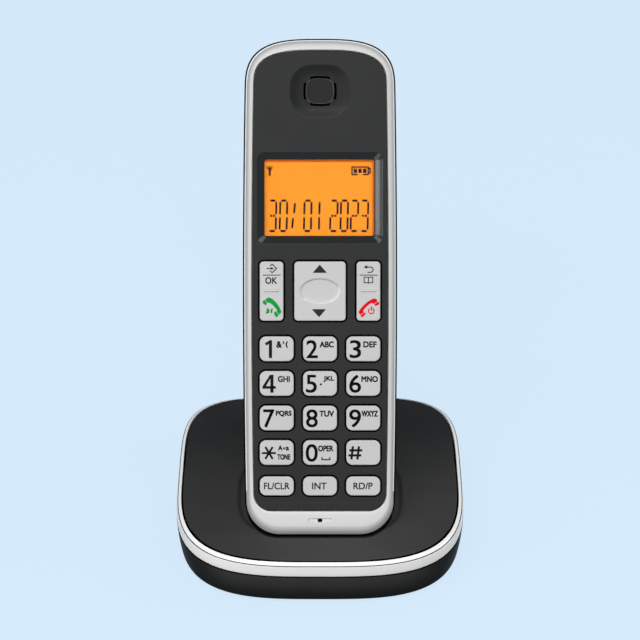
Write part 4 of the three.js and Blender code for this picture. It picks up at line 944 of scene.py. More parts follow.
def cover_outline(margin):
    """The face plate's outline, set in by a margin."""
    ends = COVER_CHIN + margin, COVER_TOP_END - margin
    corners = COVER_BOTTOM_CORNER - margin, COVER_TOP_CORNER - margin
    return handset_outline(COVER_SIDE + margin, *ends, *corners)


SILVER = (0.61, 0.605, 0.595)
silver = plastic("silver_paint", SILVER, 0.38, grain=0.25, mottle=0.01, wear_and_highlight=0.1, bump=0.03)
# The silver is painted paler low down, at the chin: painted light.
paler_towards(silver, "Z", 45, 22, 1.14)
bead_rings = []
for share, inset, out in BEAD:
    outer, inner = shell_outline(inset), cover_outline(-PLATE_SEAM if share < 1 else inset)
    bead_rings.append(raised(outer + (inner - outer) * share, out))
bead_form = lean(skin(bead_rings, tube=True))
bead = add_piece("frame_bead", bead_form, "handset", silver, ["handset_frame"])
slot_rings = [raised(rounded_outline(*size, 0, MIC_ALONG), out) for *size, out in MIC_SLOT]
carve(bead, lean(skin(slot_rings)))
carve(bead, lean(prism(rounded_outline(*MIC_HOLE, 0, MIC_ALONG), -1.4, 1)))


def in_mic_hole(x, along, out):
    """The wall of the microphone's slot in the frame."""
    return (np.abs(x) < 0.8) & (np.abs(along - MIC_ALONG) < 0.56) & (out < -0.05) & (out > -1.5)


def on_slope(x, along, out, low, high, first, last):
    """The sloping edge of the frame between two heights and two places along it, without the
    microphone's slot."""
    slot = (np.abs(x) < 4.2) & (np.abs(along - MIC_ALONG) < 1.2)
    return (out > low) & (out < high) & (along > first) & (along < last) & ~slot


# The wall of the microphone's hole is painted near black as shadow.
painted_upright(bead, painted_shadow, in_mic_hole)
# Painted light and shade on the frame's slope: a paler painted highlight on the rim above the chin,
# darker painted shade on the chin's rim and in bands down the slope. Each shade: its share of the
# paint's lightness, two heights and two places along.
SILVER_SHADES = (
    (1.35, -1.3, -0.96, 14, 160), (0.4, -1.3, -0.96, -1, 14), (0.66, -0.96, -0.45, -1, 160),
    (0.76, -0.45, -0.3, -1, 160), (0.84, -0.3, -0.15, -1, 160), (0.91, -0.15, -0.03, -1, 160),
    (0.96, -0.03, 0.06, -1, 160),
)
for share, *edges in SILVER_SHADES:
    tint = tuple(share * c for c in SILVER)
    shade = plastic("silver_shade_%d" % (100 * share), tint, 0.38, 0.25, 0.01, 0.1)
    painted_upright(bead, shade, lambda x, along, out: on_slope(x, along, out, *edges))

# ---------------------------------------------------------------------------------------------
# Face plate: one black moulding with a window for each key, a bevelled recess for the display and a
# dished earpiece with four curved slots. Two posts behind it take the handset's screws.
PLATE = 1.6
KEY_GAP = 0.42
KEY_WIDTH = 10.8
KEY_HEIGHT = 7.993
KEY_CORNER = 2.0
KEY_BOW = 0.014
COLUMNS = (-13.65, 0, 13.65)
ROWS = (59.519, 48.576, 37.633, 26.69)
FUNCTION_ROW = 16.093
FUNCTION_HEIGHT = 6.2
ROCKER_ROW = 77.715
ROCKER_X = 15.245
ROCKER_WIDTH = 7.65
NAV_WIDTH = 16.4
ROCKER_HEIGHT = 18.9
ROCKER_CORNER = 1.3
DISPLAY_MIDDLE = 107.074
DISPLAY_SIZE = (34.5, 24.0)
OPENING_X = -0.2
BEZEL_SIZE = (39.4, 28.4)
BEZEL_DEPTH = 1.3
EAR_MIDDLE = 140.515
EAR_SIZE = (19.0, 16.5)
EAR_CORNER = 7.0
EAR_DEPTH = 0.8
# Each key: its name, its middle across and along, its width, its height and its corners.
KEYS = [
    ("key_" + name, COLUMNS[i % 3], ROWS[i // 3], KEY_WIDTH, KEY_HEIGHT, KEY_CORNER)
    for i, name in enumerate("1 2 3 4 5 6 7 8 9 star 0 hash".split())
]
KEYS += [
    ("key_" + name, COLUMNS[i], FUNCTION_ROW, KEY_WIDTH, FUNCTION_HEIGHT, KEY_CORNER)
    for i, name in enumerate(("flash", "intercom", "redial"))
]
ROCKERS = [
    (name, x, ROCKER_ROW, width, ROCKER_HEIGHT, ROCKER_CORNER)
    for name, x, width in (
        ("talk_rocker_key", -ROCKER_X, ROCKER_WIDTH),
        ("navigation_key", 0, NAV_WIDTH),
        ("end_rocker_key", ROCKER_X, ROCKER_WIDTH),
    )
]


def bowed(width, height, corner, x, along, grow, bow, steps=10):
    """A round-cornered rectangle, grown all round, whose sides bow out by a square law along each."""
    place = rounded_outline(width + 2 * grow, height + 2 * grow, corner + grow, 0, 0, steps)
    share = np.clip(place / (width / 2, height / 2), -1, 1)
    push = 1 + bow * (1 - share[:, ::-1] ** 2)
    return place * push + (x, along)


def evenly(outline, count):
    """The same closed outline, with its points at equal steps of length."""
    closed = np.vstack([outline, outline[:1]])
    far = np.concatenate([[0], np.cumsum(np.hypot(*np.diff(closed, axis=0).T))])
    place = np.arange(count) / count * far[-1]
    return np.stack([np.interp(place, far, axis) for axis in closed.T], -1)


def filled(loops, upwards):
    """Triangles that fill the first loop less the others, all of one height, facing one way. The
    numbers count through the loops in order."""
    rows = np.array(tessellate_polygon([loop.tolist() for loop in loops]))
    flat = np.vstack(loops)[:, :2]
    a, b, c = (flat[rows[:, i]] for i in range(3))
    turn = (b[:, 0] - a[:, 0]) * (c[:, 1] - a[:, 1]) - (b[:, 1] - a[:, 1]) * (c[:, 0] - a[:, 0])
    wrong = (turn < 0) if upwards else (turn > 0)
    rows[wrong] = rows[wrong][:, ::-1]
    return np.column_stack([rows, np.full(len(rows), -1)])


def pierced_plate(edge, holes, bowls):
    """A plate from stacks of loops that run from its face to its back: one for its outer edge, one for
    each hole, and one for each bowl, which closes on its own middle. The first loops bound the
    face and the last ones of the edge and the holes bound the back."""
    points, faces, face_rows, back_rows, start = [], [], [], [], 0
    for kind, stack in [("edge", edge)] + [("hole", h) for h in holes] + [("bowl", b) for b in bowls]:
        form_points, form_faces = skin(stack, open_start=True, open_end=kind != "bowl")
        if kind == "edge":
            form_faces = form_faces[:, ::-1]
        count = len(stack[0])
        points.append(form_points)
        faces.append(np.where(form_faces < 0, -1, form_faces + start))
        face_rows.append(start + np.arange(count))
        if kind != "bowl":
            back_rows.append(start + (len(stack) - 1) * count + np.arange(count))
        start += len(form_points)
    points = np.vstack(points)
    for rows, upwards in ((face_rows, True), (back_rows, False)):
        number = np.concatenate(rows)
        fill = filled([points[row] for row in rows], upwards)
        faces.append(np.where(fill < 0, -1, number[fill]))
    return points, np.vstack(faces)


def edge_bow(corner):
    """How far a key's sides bow out: the rockers, which have their own corners, are straight."""
    return KEY_BOW if corner == KEY_CORNER else 0.0


# The round at the edge of a window: how far it is grown there, and how far out of the face it is.
ROUND = ((0.16, 0), (0.12, 0), (0.06, -0.02), (0.02, -0.06), (0, -0.12), (0, -PLATE))
EDGE_ROUND = ((0.32, 0), (0.25, 0), (0.12, -0.03), (0.03, -0.12), (0, -0.25), (0, -PLATE))
plate_edge = [raised(cover_outline(margin), out) for margin, out in EDGE_ROUND]
plate_holes = []
for name, x, along, width, height, corner in KEYS + ROCKERS:
    window = (width, height, corner, x, along)
    loops = [(bowed(*window, KEY_GAP + grow, edge_bow(corner)), out) for grow, out in ROUND]
    plate_holes.append([raised(*loop) for loop in loops])


def bezel_loop(share, out):
    """A loop between the display's opening and the mouth of its recess."""
    size = [DISPLAY_SIZE[i] + (BEZEL_SIZE[i] - DISPLAY_SIZE[i]) * share for i in (0, 1)]
    side = OPENING_X * (1 - max(share, 0))
    outline = bowed(*size, 0.6 + 1.7 * max(share, 0), side, DISPLAY_MIDDLE, 0, 0.012, 12)
    return raised(outline, out)


BEZEL_ROWS = ((1.09, 0), (1.05, 0), (1.0, -0.04), (0.94, -0.13))
BEZEL_ROWS += tuple((share, -BEZEL_DEPTH * (1 - share)) for share in (0.8, 0.5, 0.2))
BEZEL_ROWS += ((0.03, -1.27), (0, -1.34), (0, -PLATE))
plate_holes.append([bezel_loop(*row) for row in BEZEL_ROWS])

# The dish of the earpiece: its rings pass from the round-cornered mouth to a squarish ring, where a
# groove and the four slots are sunk, and on to a plain middle.
EAR_POINTS = 240
GROOVE = (5.2, 4.65)
GROOVE_POWER = 3.2
SLOT_REACH = 3.05
SLOT_RISE = 2.55
SLOT_DEPTH = 0.68


def groove_share(x, high):
    """A superellipse's measure of a place about the earpiece's middle: one on the groove's line."""
    law = np.abs(x / GROOVE[0]) ** GROOVE_POWER + np.abs(high / GROOVE[1]) ** GROOVE_POWER
    return law ** (1 / GROOVE_POWER)


def ear_form():
    """Rings about the earpiece's middle, from its mouth inwards. The dish falls as a sine from the
    mouth to the groove, and the slots are bands of the rings near the groove, cut short at corners."""
    mouth = evenly(rounded_outline(*EAR_SIZE, EAR_CORNER, 0, 0, 24), EAR_POINTS)
    angle = np.arctan2(mouth[:, 1], mouth[:, 0])
    cosine, sine = np.cos(angle), np.sin(angle)
    groove = np.stack([cosine, sine], -1) / groove_share(cosine, sine)[:, None]
    rings = [raised(mouth * share, out) for share, out in ((1.05, 0), (1.03, 0), (1.0, -0.02), (0.97, -0.07))]
    for share in np.linspace(0.94, 0.06, 12):
        fall = np.sin(np.pi / 2 * np.clip((0.97 - share) / 0.9, 0, 1))
        rings.append(raised(groove + (mouth - groove) * share, -0.07 - (EAR_DEPTH - 0.07) * fall))
    level = np.abs(sine) * GROOVE[0] > np.abs(cosine) * GROOVE[1]
    for share in np.concatenate([[1.03, 1.012], np.linspace(1.0, 0.8, 22), [0.78, 0.74, 0.5, 0.2]]):
        across, up = np.abs(groove.T * share)
        band = np.clip((1.004 - share) / 0.01, 0, 1) * np.clip((share - 0.862) / 0.01, 0, 1)
        within = np.where(level, SLOT_REACH - across, SLOT_RISE - up)
        slot = band * np.clip(within / 0.12, 0, 1)
        rim = 0.18 * np.exp(-(((share - 0.835) / 0.022) ** 2))
        rings.append(raised(groove * share, -EAR_DEPTH + rim - SLOT_DEPTH * slot))
    return [ring + (0, EAR_MIDDLE, 0) for ring in rings]


posts = [turned_bar([(2.4, -12), (2.4, -0.9)], side * SCREW_X, RINGER_MIDDLE) for side in (-1, 1)]
plate_form = together(pierced_plate(plate_edge, plate_holes, [ear_form()]), *posts)
face_black = plastic("face_satin_black", (0.0208, 0.0201, 0.0194), 0.44, grain=0.3, specular=0.13, bump=0.06)
face_plate = add_piece(
    "face_panel", lean(plate_form), "handset", face_black, ["handset_front_cover"]
)


def in_shadow(x, along, out):
    """The slots of the earpiece and the walls of the keys' windows, painted near black as shadow."""
    slots = (out < -1) & (np.abs(along - EAR_MIDDLE) < 8)
    windows = (out < -0.3) & (along > 12) & (along < 88) & (np.abs(x) < 20.4)
    return (slots | windows) & (out > -PLATE + 0.01)


def on_bezel(x, along, out):
    """The slopes of the display's recess."""
    near = (np.abs(x) < 20.2) & (np.abs(along - DISPLAY_MIDDLE) < 14.7)
    return near & (out < -0.02) & (out > -1.33)


def on_bezel_highlight(x, along, out):
    """The corners of the recess that carry a painted highlight: both right ones and the lower left one."""
    high = along - DISPLAY_MIDDLE
    aside, up = np.abs(x) - DISPLAY_SIZE[0] / 2 + 0.05, np.abs(high) - DISPLAY_SIZE[1] / 2
    corner = (aside > -0.1) & (up > -0.1) & (np.abs(aside - up) < 0.8)
    return on_bezel(x, along, out) & corner & ((x > 0) | (high < 0))


def on_dish(x, along, out):
    """The dish of the earpiece."""
    near = (np.abs(x) < 9.7) & (np.abs(along - EAR_MIDDLE) < 8.5)
    return near & (out < -0.02) & (out > -1)


def on_ear_line(x, along, out):
    """The narrow ridge that runs round the pad of the earpiece, painted paler as a highlight."""
    share = groove_share(x, along - EAR_MIDDLE)
    return (share > 0.812) & (share < 0.858) & (out > -1) & (out < 0)


bezel_black = plastic("bezel_gloss_black", (0.009, 0.008, 0.0068), 0.2, specular=0.27, bump=0.02)
bezel_highlight = plastic("bezel_painted_highlight", (0.075, 0.074, 0.072), 0.3, specular=0.3, bump=0.02)
# Painted light and shade on the earpiece's dish: darker than the plate, paler low down and to the right.
dish_shaded_black = plastic("dish_shaded_black", (0.0138, 0.0134, 0.013), 0.4, grain=0.3, specular=0.1, bump=0.04)
paler_towards(dish_shaded_black, "Z", 133.6, 131.2, 2)
paler_towards(dish_shaded_black, "X", 4.6, 8, 1.4)
ear_line_highlight = plastic("ear_line_painted_highlight", (0.085, 0.084, 0.082), 0.4, grain=0.3, specular=0.2, bump=0.02)
for finish, test in (
    (painted_shadow, in_shadow), (bezel_black, on_bezel), (bezel_highlight, on_bezel_highlight),
    (dish_shaded_black, on_dish), (ear_line_highlight, on_ear_line),
):
    painted_upright(face_plate, finish, test)

# ---------------------------------------------------------------------------------------------
# Key caps: light grey mouldings that stand on the rubber mat and pass through the plate's windows.
# Each has a flange that keeps it in, and a rounded edge. Three taller ones rock about their middles.
CAP_PROUD = 0.7
CAP_ROUND = 0.34
CAP_SLACK = 0.1
CAP_GREY = (0.555, 0.55, 0.542)
key_grey = plastic("key_pale_grey", CAP_GREY, 0.42, grain=0.25, mottle=0.015, wear_and_highlight=0.08, bump=0.05)


def cap_rings(outline_of, flange, foot):
    """Loops from a cap's foot to its flat top: the flange, the wall and a quarter round."""
    rings = [raised(outline_of(0.6), foot), raised(outline_of(0.6), flange), raised(outline_of(0), flange)]
    rings.append(raised(outline_of(0), -0.1))
    for angle in np.linspace(0, math.pi / 2, 7):
        inset = CAP_ROUND * (1 - math.cos(angle))
        rings.append(raised(outline_of(-inset), CAP_PROUD - CAP_ROUND * (1 - math.sin(angle))))
    rings.append(raised(outline_of(-CAP_ROUND - 0.08), CAP_PROUD))
    return rings


def cap_of(key):
    """The outline of a key's cap, as a function of how far it is grown."""
    name, x, along, width, height, corner = key
    return lambda grow: bowed(width, height, corner, x, along, grow - CAP_SLACK, edge_bow(corner))


def add_cap(name, key, form):
    """A cap: pale where it stands out of its window, and painted near black as shadow on the flange and
    wall inside it.
    """
    piece = add_piece(name, lean(form), key, key_grey, [key])
    painted_upright(piece, painted_shadow, lambda x, along, out: out < -0.35)
    return piece


# How far out of the face a small key's flange and foot are, and a rocker's.
KEY_FOOT = (-2.1, -2.7)
ROCKER_FOOT = (-2.4, -3.3)
for key, foot in [(key, KEY_FOOT) for key in KEYS] + [(key, ROCKER_FOOT) for key in ROCKERS[::2]]:
    add_cap(key[0].replace("key", "cap"), key[0], skin(cap_rings(cap_of(key), *foot)))

# The navigation key has an oval dish in its middle, where the cap's loops pass into ellipses.
NAV_DISH = (12.8, 8.1)
NAV_DEPTH = 0.62
# Each oval: its share of the dish's size, and of its depth.
NAV_ROWS = (
    (1.03, 0), (1.0, 0.03), (0.985, 0.13), (0.96, 0.45), (0.93, 0.75), (0.9, 0.92), (0.85, 0.98),
    (0.7, 1), (0.4, 1), (0.15, 1),
)


def navigation_form():
    """The cap's own loops, then loops that pass from the last of them to an oval, then ovals that sink
    to the dish's floor."""
    loops = [
        raised(evenly(ring[:, :2], 200), ring[0, 2]) for ring in cap_rings(cap_of(ROCKERS[1]), *ROCKER_FOOT)
    ]
    top = loops[-1][:, :2] - (0, ROCKER_ROW)
    angle = np.arctan2(top[:, 1] * NAV_DISH[0], top[:, 0] * NAV_DISH[1])
    oval = np.stack([np.cos(angle) * NAV_DISH[0] / 2, np.sin(angle) * NAV_DISH[1] / 2], -1)
    for share in (0.3, 0.7, 0.94):
        loops.append(raised(top + (oval * 1.04 - top) * share + (0, ROCKER_ROW), CAP_PROUD))
    for share, fall in NAV_ROWS:
        loops.append(raised(oval * share + (0, ROCKER_ROW), CAP_PROUD - NAV_DEPTH * fall))
    return skin(loops)


def on_lit_edge(x, along, out):
    """The lower right part of the dish's wall, painted pale as a highlight."""
    high = along - ROCKER_ROW
    share = 2 * np.hypot(x / NAV_DISH[0], high / NAV_DISH[1])
    return (share > 0.91) & (share < 1.005) & (high < 0.3 * x - 0.4) & (out > 0)


# The lower right wall of the navigation key's dish carries a painted highlight.
nav_highlight = plastic("key_polished_edge", (0.75, 0.742, 0.73), 0.3, grain=0.25, mottle=0.01, wear_and_highlight=0, bump=0)
navigation_cap = add_cap("navigation_cap", "navigation_key", navigation_form())
painted_upright(navigation_cap, nav_highlight, on_lit_edge)

# ---------------------------------------------------------------------------------------------
# Display: an orange lit panel behind the plate's opening, under a clear pane. A thin darker and
# dimmer border, painted shade, shows at its upper and right edges, and the dark signs on it stand just
# in front of it.
PANEL_OUT = (-3.02, -2.98)
PANEL_GROW = 0.4
PANEL_SHIFT = -0.95


def lit(name, colour, glow):
    """A lit panel: orange light that drifts slightly over centimetres, with a fine grain."""
    made = plastic(name, colour, 0.5, grain=0.2, mottle=0.03, wear_and_highlight=0.0, specular=0.03, bump=0.0)
    shader = made.node_tree.nodes["Principled BSDF"]
    set_inputs(made.node_tree, shader, {"Emission Color": (*colour, 1), "Emission Strength": glow})
    return made


orange = lit("display_orange", (0.77, 0.224, 0.009), 0.3)
refinished(lit("display_border_painted_shade", (0.56, 0.1, 0.004), 0.2), "display_module")
size = [side + PANEL_GROW for side in DISPLAY_SIZE]
panel = rounded_outline(*size, 0.3, PANEL_SHIFT, DISPLAY_MIDDLE + PANEL_SHIFT)
add_piece("display_panel", lean(prism(panel, *PANEL_OUT)), "handset", orange)

# The pane is thin clear plastic with a slight smear in its gloss.
clear = bpy.data.materials.new("clear_pane")
clear.use_nodes = True
tree = clear.node_tree
place = add_node(tree, "ShaderNodeTexCoord")["Object"]
haze = add_node(tree, "ShaderNodeTexNoise", {"Scale": 400, "Vector": place})["Fac"]
smear = add_node(tree, "ShaderNodeMapRange", {"To Min": 0.0, "To Max": 0.06, "Value": haze})["Result"]
pane = {"Base Color": (1, 1, 1, 1), "Transmission Weight": 1, "IOR": 1.12, "Roughness": smear}
set_inputs(tree, tree.nodes["Principled BSDF"], pane)
refinished(clear, "display_window")

# Signs on the display: thin dark strokes that lie just in front of the panel, an aerial, a battery
# with three bars, and a time and date made of seven-part numbers.
SIGN_OUT = (-2.975, -2.945)
SIGN_STROKE = 0.64
LEVEL_STROKE = 0.72
FINE_STROKE = 0.46
AERIAL_STROKE = 0.36
SIGN_DARK = (0.014, 0.002, 0.01)


def ribbon(line, width, heights):
    """A flat stroke of one width along a line of points: each point is moved to both sides along the
    mean of its two neighbours' directions, turned a quarter."""
    line = np.asarray(line, float)
    first = line - np.vstack([2 * line[0] - line[1], line[:-1]])
    second = np.vstack([line[1:], 2 * line[-1] - line[-2]]) - line
    first, second = (way / np.hypot(*way.T)[:, None] for way in (first, second))
    mean = first + second
    mean /= np.hypot(*mean.T)[:, None]
    stretch = 1 / np.clip((mean * second).sum(1), 0.5, 1)
    side = np.stack([-mean[:, 1], mean[:, 0]], -1) * (stretch * width / 2)[:, None]
    low, high = heights
    corners = ((-1, low), (1, low), (1, high), (-1, high))
    return skin(np.stack([raised(line + side * way, height) for way, height in corners], 1))


def plate_sign(points, heights):
    """A flat filled sign: its outline pulled from one height to another."""
    loop, top = (raised(np.asarray(points, float), height) for height in heights)
    count = len(loop)
    here = np.arange(count)
    after = (here + 1) % count
    sides = np.stack([here, after, after + count, here + count], -1)
    if (loop[:, 0] * np.roll(loop[:, 1], -1) - np.roll(loop[:, 0], -1) * loop[:, 1]).sum() < 0:
        sides = sides[:, ::-1]
    lid = filled([top], True)
    faces = np.vstack([sides, np.where(lid < 0, -1, lid + count), filled([loop], False)])
    return np.vstack([loop, top]), faces


def shifted(form, x, along):
    """A form moved across and along the handset."""
    points, faces = form
    return points + (x, along, 0), faces


# Parts of a seven-part number: its two ends in shares of its width and height. Every number leans a
# little to the right.
PARTS = {
    "a": ((0.12, 1), (0.88, 1)), "b": ((1, 0.95), (1, 0.55)), "c": ((1, 0.45), (1, 0.05)),
    "d": ((0.12, 0), (0.88, 0)), "e": ((0, 0.45), (0, 0.05)), "f": ((0, 0.95), (0, 0.55)),
    "g": ((0.14, 0.5), (0.44, 0.5)), "h": ((0.56, 0.5), (0.86, 0.5)),
}
NUMBERS = {"0": "abcdef", "1": "bc", "2": "abghed", "3": "abghcd"}
NUMBER_SIZE = (2.2, 9.6)
NUMBER_LEAN = 0.25
NUMBER_FOOT = -10.5
# Each number with the left edge of its lower end; a slant stroke divides the first two from the rest.
CLOCK = (("3", -16.2), ("0", -12.76), ("0", -5.1), ("1", -2.55), ("2", 3.16), ("0", 6.43), ("2", 9.65),
         ("3", 12.8))
# The other strokes: the two halves of the divider, the aerial's arms and mast, the battery, its nub.
SIGN_LINES = (
    (SIGN_STROKE, (-8.8, -9.6), (-8.5, -6.4)),
    (SIGN_STROKE, (-8.15, -4.9), (-7.9, -1.7)),
    (AERIAL_STROKE, (-16.8, 9.85), (-15.82, 8.4), (-14.85, 9.85)),
    (SIGN_STROKE, (-15.82, 9.9), (-15.82, 6.8)),
    (FINE_STROKE, (12.0, 7.3), (10.1, 7.3), (10.1, 9.65), (15.2, 9.65), (15.2, 7.3), (13.4, 7.3)),
    (FINE_STROKE, (15.3, 9.2), (15.8, 9.2), (15.8, 7.8), (15.3, 7.8)),
)
sign_forms = []
for digit, left in CLOCK:
    for part in NUMBERS[digit]:
        ends = np.array(PARTS[part]) * NUMBER_SIZE
        ends[:, 0] += NUMBER_LEAN * (ends[:, 1] / NUMBER_SIZE[1]) + left
        stroke = LEVEL_STROKE if part in "adgh" else SIGN_STROKE
        sign_forms.append(ribbon(ends + (0, NUMBER_FOOT), stroke, SIGN_OUT))
sign_forms += [ribbon(line, stroke, SIGN_OUT) for stroke, *line in SIGN_LINES]
for left in (10.6, 12.07, 13.54):
    right = left + 1.1
    sign_forms.append(plate_sign([(left, 7.8), (right, 7.8), (right, 9.15), (left, 9.15)], SIGN_OUT))
sign_dark = plastic("sign_dark", SIGN_DARK, 0.5, mottle=0.03, wear_and_highlight=0, specular=0.03, bump=0)
signs = lean(shifted(together(*sign_forms), 0, DISPLAY_MIDDLE))
add_piece("display_signs", signs, "handset", sign_dark)

# ---------------------------------------------------------------------------------------------
# Prints on the caps: pad-printed numbers, letters and signs in dark ink, with the talk sign in green
# and the end sign in red. Each cap's ink is one thin piece that moves with its key.
INK_OUT = (CAP_PROUD - 0.005, CAP_PROUD + 0.02)


def ink(name, colour):
    """Printing ink: matt, and all but even in colour."""
    return plastic(name, colour, 0.5, mottle=0.05, wear_and_highlight=0, specular=0.08, bump=0)


ink_black = ink("ink_black", (0.006, 0.006, 0.006))
ink_grey = ink("ink_grey", (0.022, 0.022, 0.022))
ink_green = ink("ink_green", (0.0, 0.32, 0.045))
ink_red = ink("ink_red", (0.75, 0.0, 0.008))


def letters(text, left, right, low, high, weight):
    """Letters of Blender's own face as closed forms, stretched to a box on the cap. Four copies, each
    moved to a corner by the weight, make the strokes bolder."""
    curve = bpy.data.curves.new("letters", "FONT")
    curve.body = text
    curve.extrude = 0.1
    curve.resolution_u = 5
    holder = bpy.data.objects.new("letters", curve)
    scene.collection.objects.link(holder)
    bpy.context.view_layer.update()
    mesh = bpy.data.meshes.new_from_object(holder.evaluated_get(bpy.context.evaluated_depsgraph_get()))
    points = np.empty(len(mesh.vertices) * 3)
    mesh.vertices.foreach_get("co", points)
    points = points.reshape(-1, 3)
    mesh.calc_loop_triangles()
    rows = np.empty(len(mesh.loop_triangles) * 3, np.int32)
    mesh.loop_triangles.foreach_get("vertices", rows)
    bpy.data.objects.remove(holder)
    bpy.data.curves.remove(curve)
    bpy.data.meshes.remove(mesh)
    least, most = points.min(0), points.max(0)
    share = (points - least) / (most - least)
    size = (right - left - 2 * weight, high - low - 2 * weight, INK_OUT[1] - INK_OUT[0])
    placed = (left + weight, low + weight, INK_OUT[0]) + share * size
    faces = np.column_stack([rows.reshape(-1, 3), np.full(len(rows) // 3, -1)])
    moves = ((-1, -1), (1, -1), (1, 1), (-1, 1))
    return joined(*[(placed + (x * weight, y * weight, 0), faces) for x, y in moves])


def arc(x, y, radius, start, end, steps):
    """Points round a middle, from one angle to another in degrees."""
    angle = np.radians(np.linspace(start, end, steps))
    return np.stack([x + radius * np.cos(angle), y + radius * np.sin(angle)], -1)


def inked(width, *line):
    """A stroke of ink along a line of points."""
    return ribbon(line, width, INK_OUT)


def ink_patch(*points):
    """A filled patch of ink."""
    return plate_sign(points, INK_OUT)


def add_print(name, key, finish, forms):
    """One cap's ink: its forms are given about the cap's middle, and ride with the key."""
    place = {row[0]: row[1:3] for row in KEYS + ROCKERS}[key]
    add_piece("print_" + name, lean(shifted(together(*forms), *place)), key, finish)


NUMBER_LOW, NUMBER_TOP = -2.92, 2.78
LETTER_LOW, LETTER_TOP = 0.45, 2.38
LETTER_WEIGHT = 0.085
NUMBER_WEIGHT = 0.08
FINE_WEIGHT = 0.05
# The 1 is drawn, and so is the 4: its stem, its bar and its slope.
ONE = ((-1.45, 2.76), (-2.15, 2.76), (-3.72, 1.76), (-3.22, 1.02), (-2.46, 1.62), (-2.46, -2.9),
       (-1.45, -2.9))
FOUR = (
    ((-2.02, 2.78), (-1.0, 2.78), (-1.0, -2.9), (-2.02, -2.9)),
    ((-4.5, -0.8), (-4.5, -1.64), (-0.28, -1.64), (-0.28, -0.8)),
    ((-2.12, 2.78), (-1.35, 2.78), (-3.44, -0.95), (-4.5, -0.95)),
)
add_print("1", "key_1", ink_black, [
    ink_patch(*ONE),
    letters("&", -0.1, 1.6, 0.36, 2.42, LETTER_WEIGHT),
    letters("'", 1.95, 2.35, 1.55, 2.42, 0.06),
    letters("(", 2.8, 3.6, 0.3, 2.45, LETTER_WEIGHT),
])
# The 5 has a low round dot beside it for the fingertip: rows of a radius and a height.
DOT = ((0.36, 0.6), (0.34, 0.72), (0.28, 0.85), (0.16, 0.94), (0.04, 0.97))
# Each key: its number with the left and right of its box, and its letters with theirs.
for number, left, right, word, word_left, word_right in (
    ("2", -4.32, -0.70, "ABC", -0.12, 4.35),
    ("3", -4.32, -0.70, "DEF", 0.0, 4.2),
    ("4", -4.46, -0.35, "GHI", 0.36, 4.13),
    ("5", -4.45, -1.0, "JKL", 1.08, 4.45),
    ("6", -4.42, -0.71, "MNO", -0.6, 4.6),
    ("7", -4.28, -0.69, "PQRS", -0.28, 4.72),
    ("8", -4.4, -0.70, "TUV", -0.2, 4.43),
    ("9", -4.45, -0.71, "WXYZ", -0.57, 4.6),
):
    if number == "4":
        forms = [ink_patch(*stroke) for stroke in FOUR]
    else:
        forms = [letters(number, left, right, NUMBER_LOW, NUMBER_TOP, NUMBER_WEIGHT)]
    forms.append(letters(word, word_left, word_right, LETTER_LOW, LETTER_TOP, LETTER_WEIGHT))
    if number == "5":
        forms.append(turned_bar(DOT, 0.25, -0.25, 20))
    add_print(number, "key_" + number, ink_black, forms)

add_print("star", "key_star", ink_black, [
    inked(0.66, (-4.7, -0.12), (-0.28, -0.12)),
    inked(0.66, (-3.62, 1.85), (-1.28, -2.0)),
    inked(0.66, (-1.28, 1.85), (-3.62, -2.0)),
    letters("A", 0.42, 1.8, 0.7, 2.3, LETTER_WEIGHT),
    letters("a", 2.8, 3.9, 0.7, 1.9, LETTER_WEIGHT),
    ink_patch((1.85, 1.4), (2.3, 0.95), (2.75, 1.4), (2.3, 1.85)),
    letters("TONE", 0.16, 4.33, -2.24, -0.45, LETTER_WEIGHT),
])
add_print("0", "key_0", ink_black, [
    letters("0", -4.53, -0.70, -2.89, 2.72, NUMBER_WEIGHT),
    letters("OPER", -0.6, 4.2, 0.37, 2.29, LETTER_WEIGHT),
    inked(0.38, (0.65, -1.4), (0.65, -2.2), (3.1, -2.2), (3.1, -1.4)),
])
add_print("hash", "key_hash", ink_black, [
    inked(0.72, (-3.25, 2.05), (-3.75, -2.15)),
    inked(0.72, (-1.35, 2.05), (-1.85, -2.15)),
    inked(0.72, (-4.4, 0.75), (-0.3, 0.75)),
    inked(0.72, (-4.7, -0.85), (-0.6, -0.85)),
])
for name, word, left, right in (
    ("flash", "FL/CLR", -4.04, 4.04), ("intercom", "INT", -2.5, 2.1), ("redial", "RD/P", -3.1, 3.0),
):
    add_print(name, "key_" + name, ink_grey, [letters(word, left, right, -1.04, 1.12, FINE_WEIGHT)])

# The left rocker: an entry sign with a diamond, a thin rule, OK, a raised ridge and the talk sign,
# a green handset with sound coming from a loudspeaker.
RIDGE_FOOT = 0.6
RIDGE = ((0.5, 0.6), (0.46, 0.8), (0.34, 0.98), (0.14, 1.1), (-0.14, 1.1), (-0.34, 0.98), (-0.46, 0.8),
         (-0.5, 0.6))
RIDGE_HALF = 2.33
# Shares of its half length, and of its height there.
RIDGE_ROWS = ((-1, 0.1), (-0.985, 0.6), (-0.95, 0.9), (-0.9, 1), (0.9, 1), (0.95, 0.9), (0.985, 0.6),
              (1, 0.1))


def ridge_form():
    """A raised bar across the cap: its round profile carried from one end to the other, with low
    ends."""
    rings = []
    for share, height in RIDGE_ROWS:
        up, out = np.array(RIDGE).T
        x = np.full(len(up), share * RIDGE_HALF)
        rings.append(np.column_stack([x, up, RIDGE_FOOT + (out - RIDGE_FOOT) * height]))
    return skin(rings)


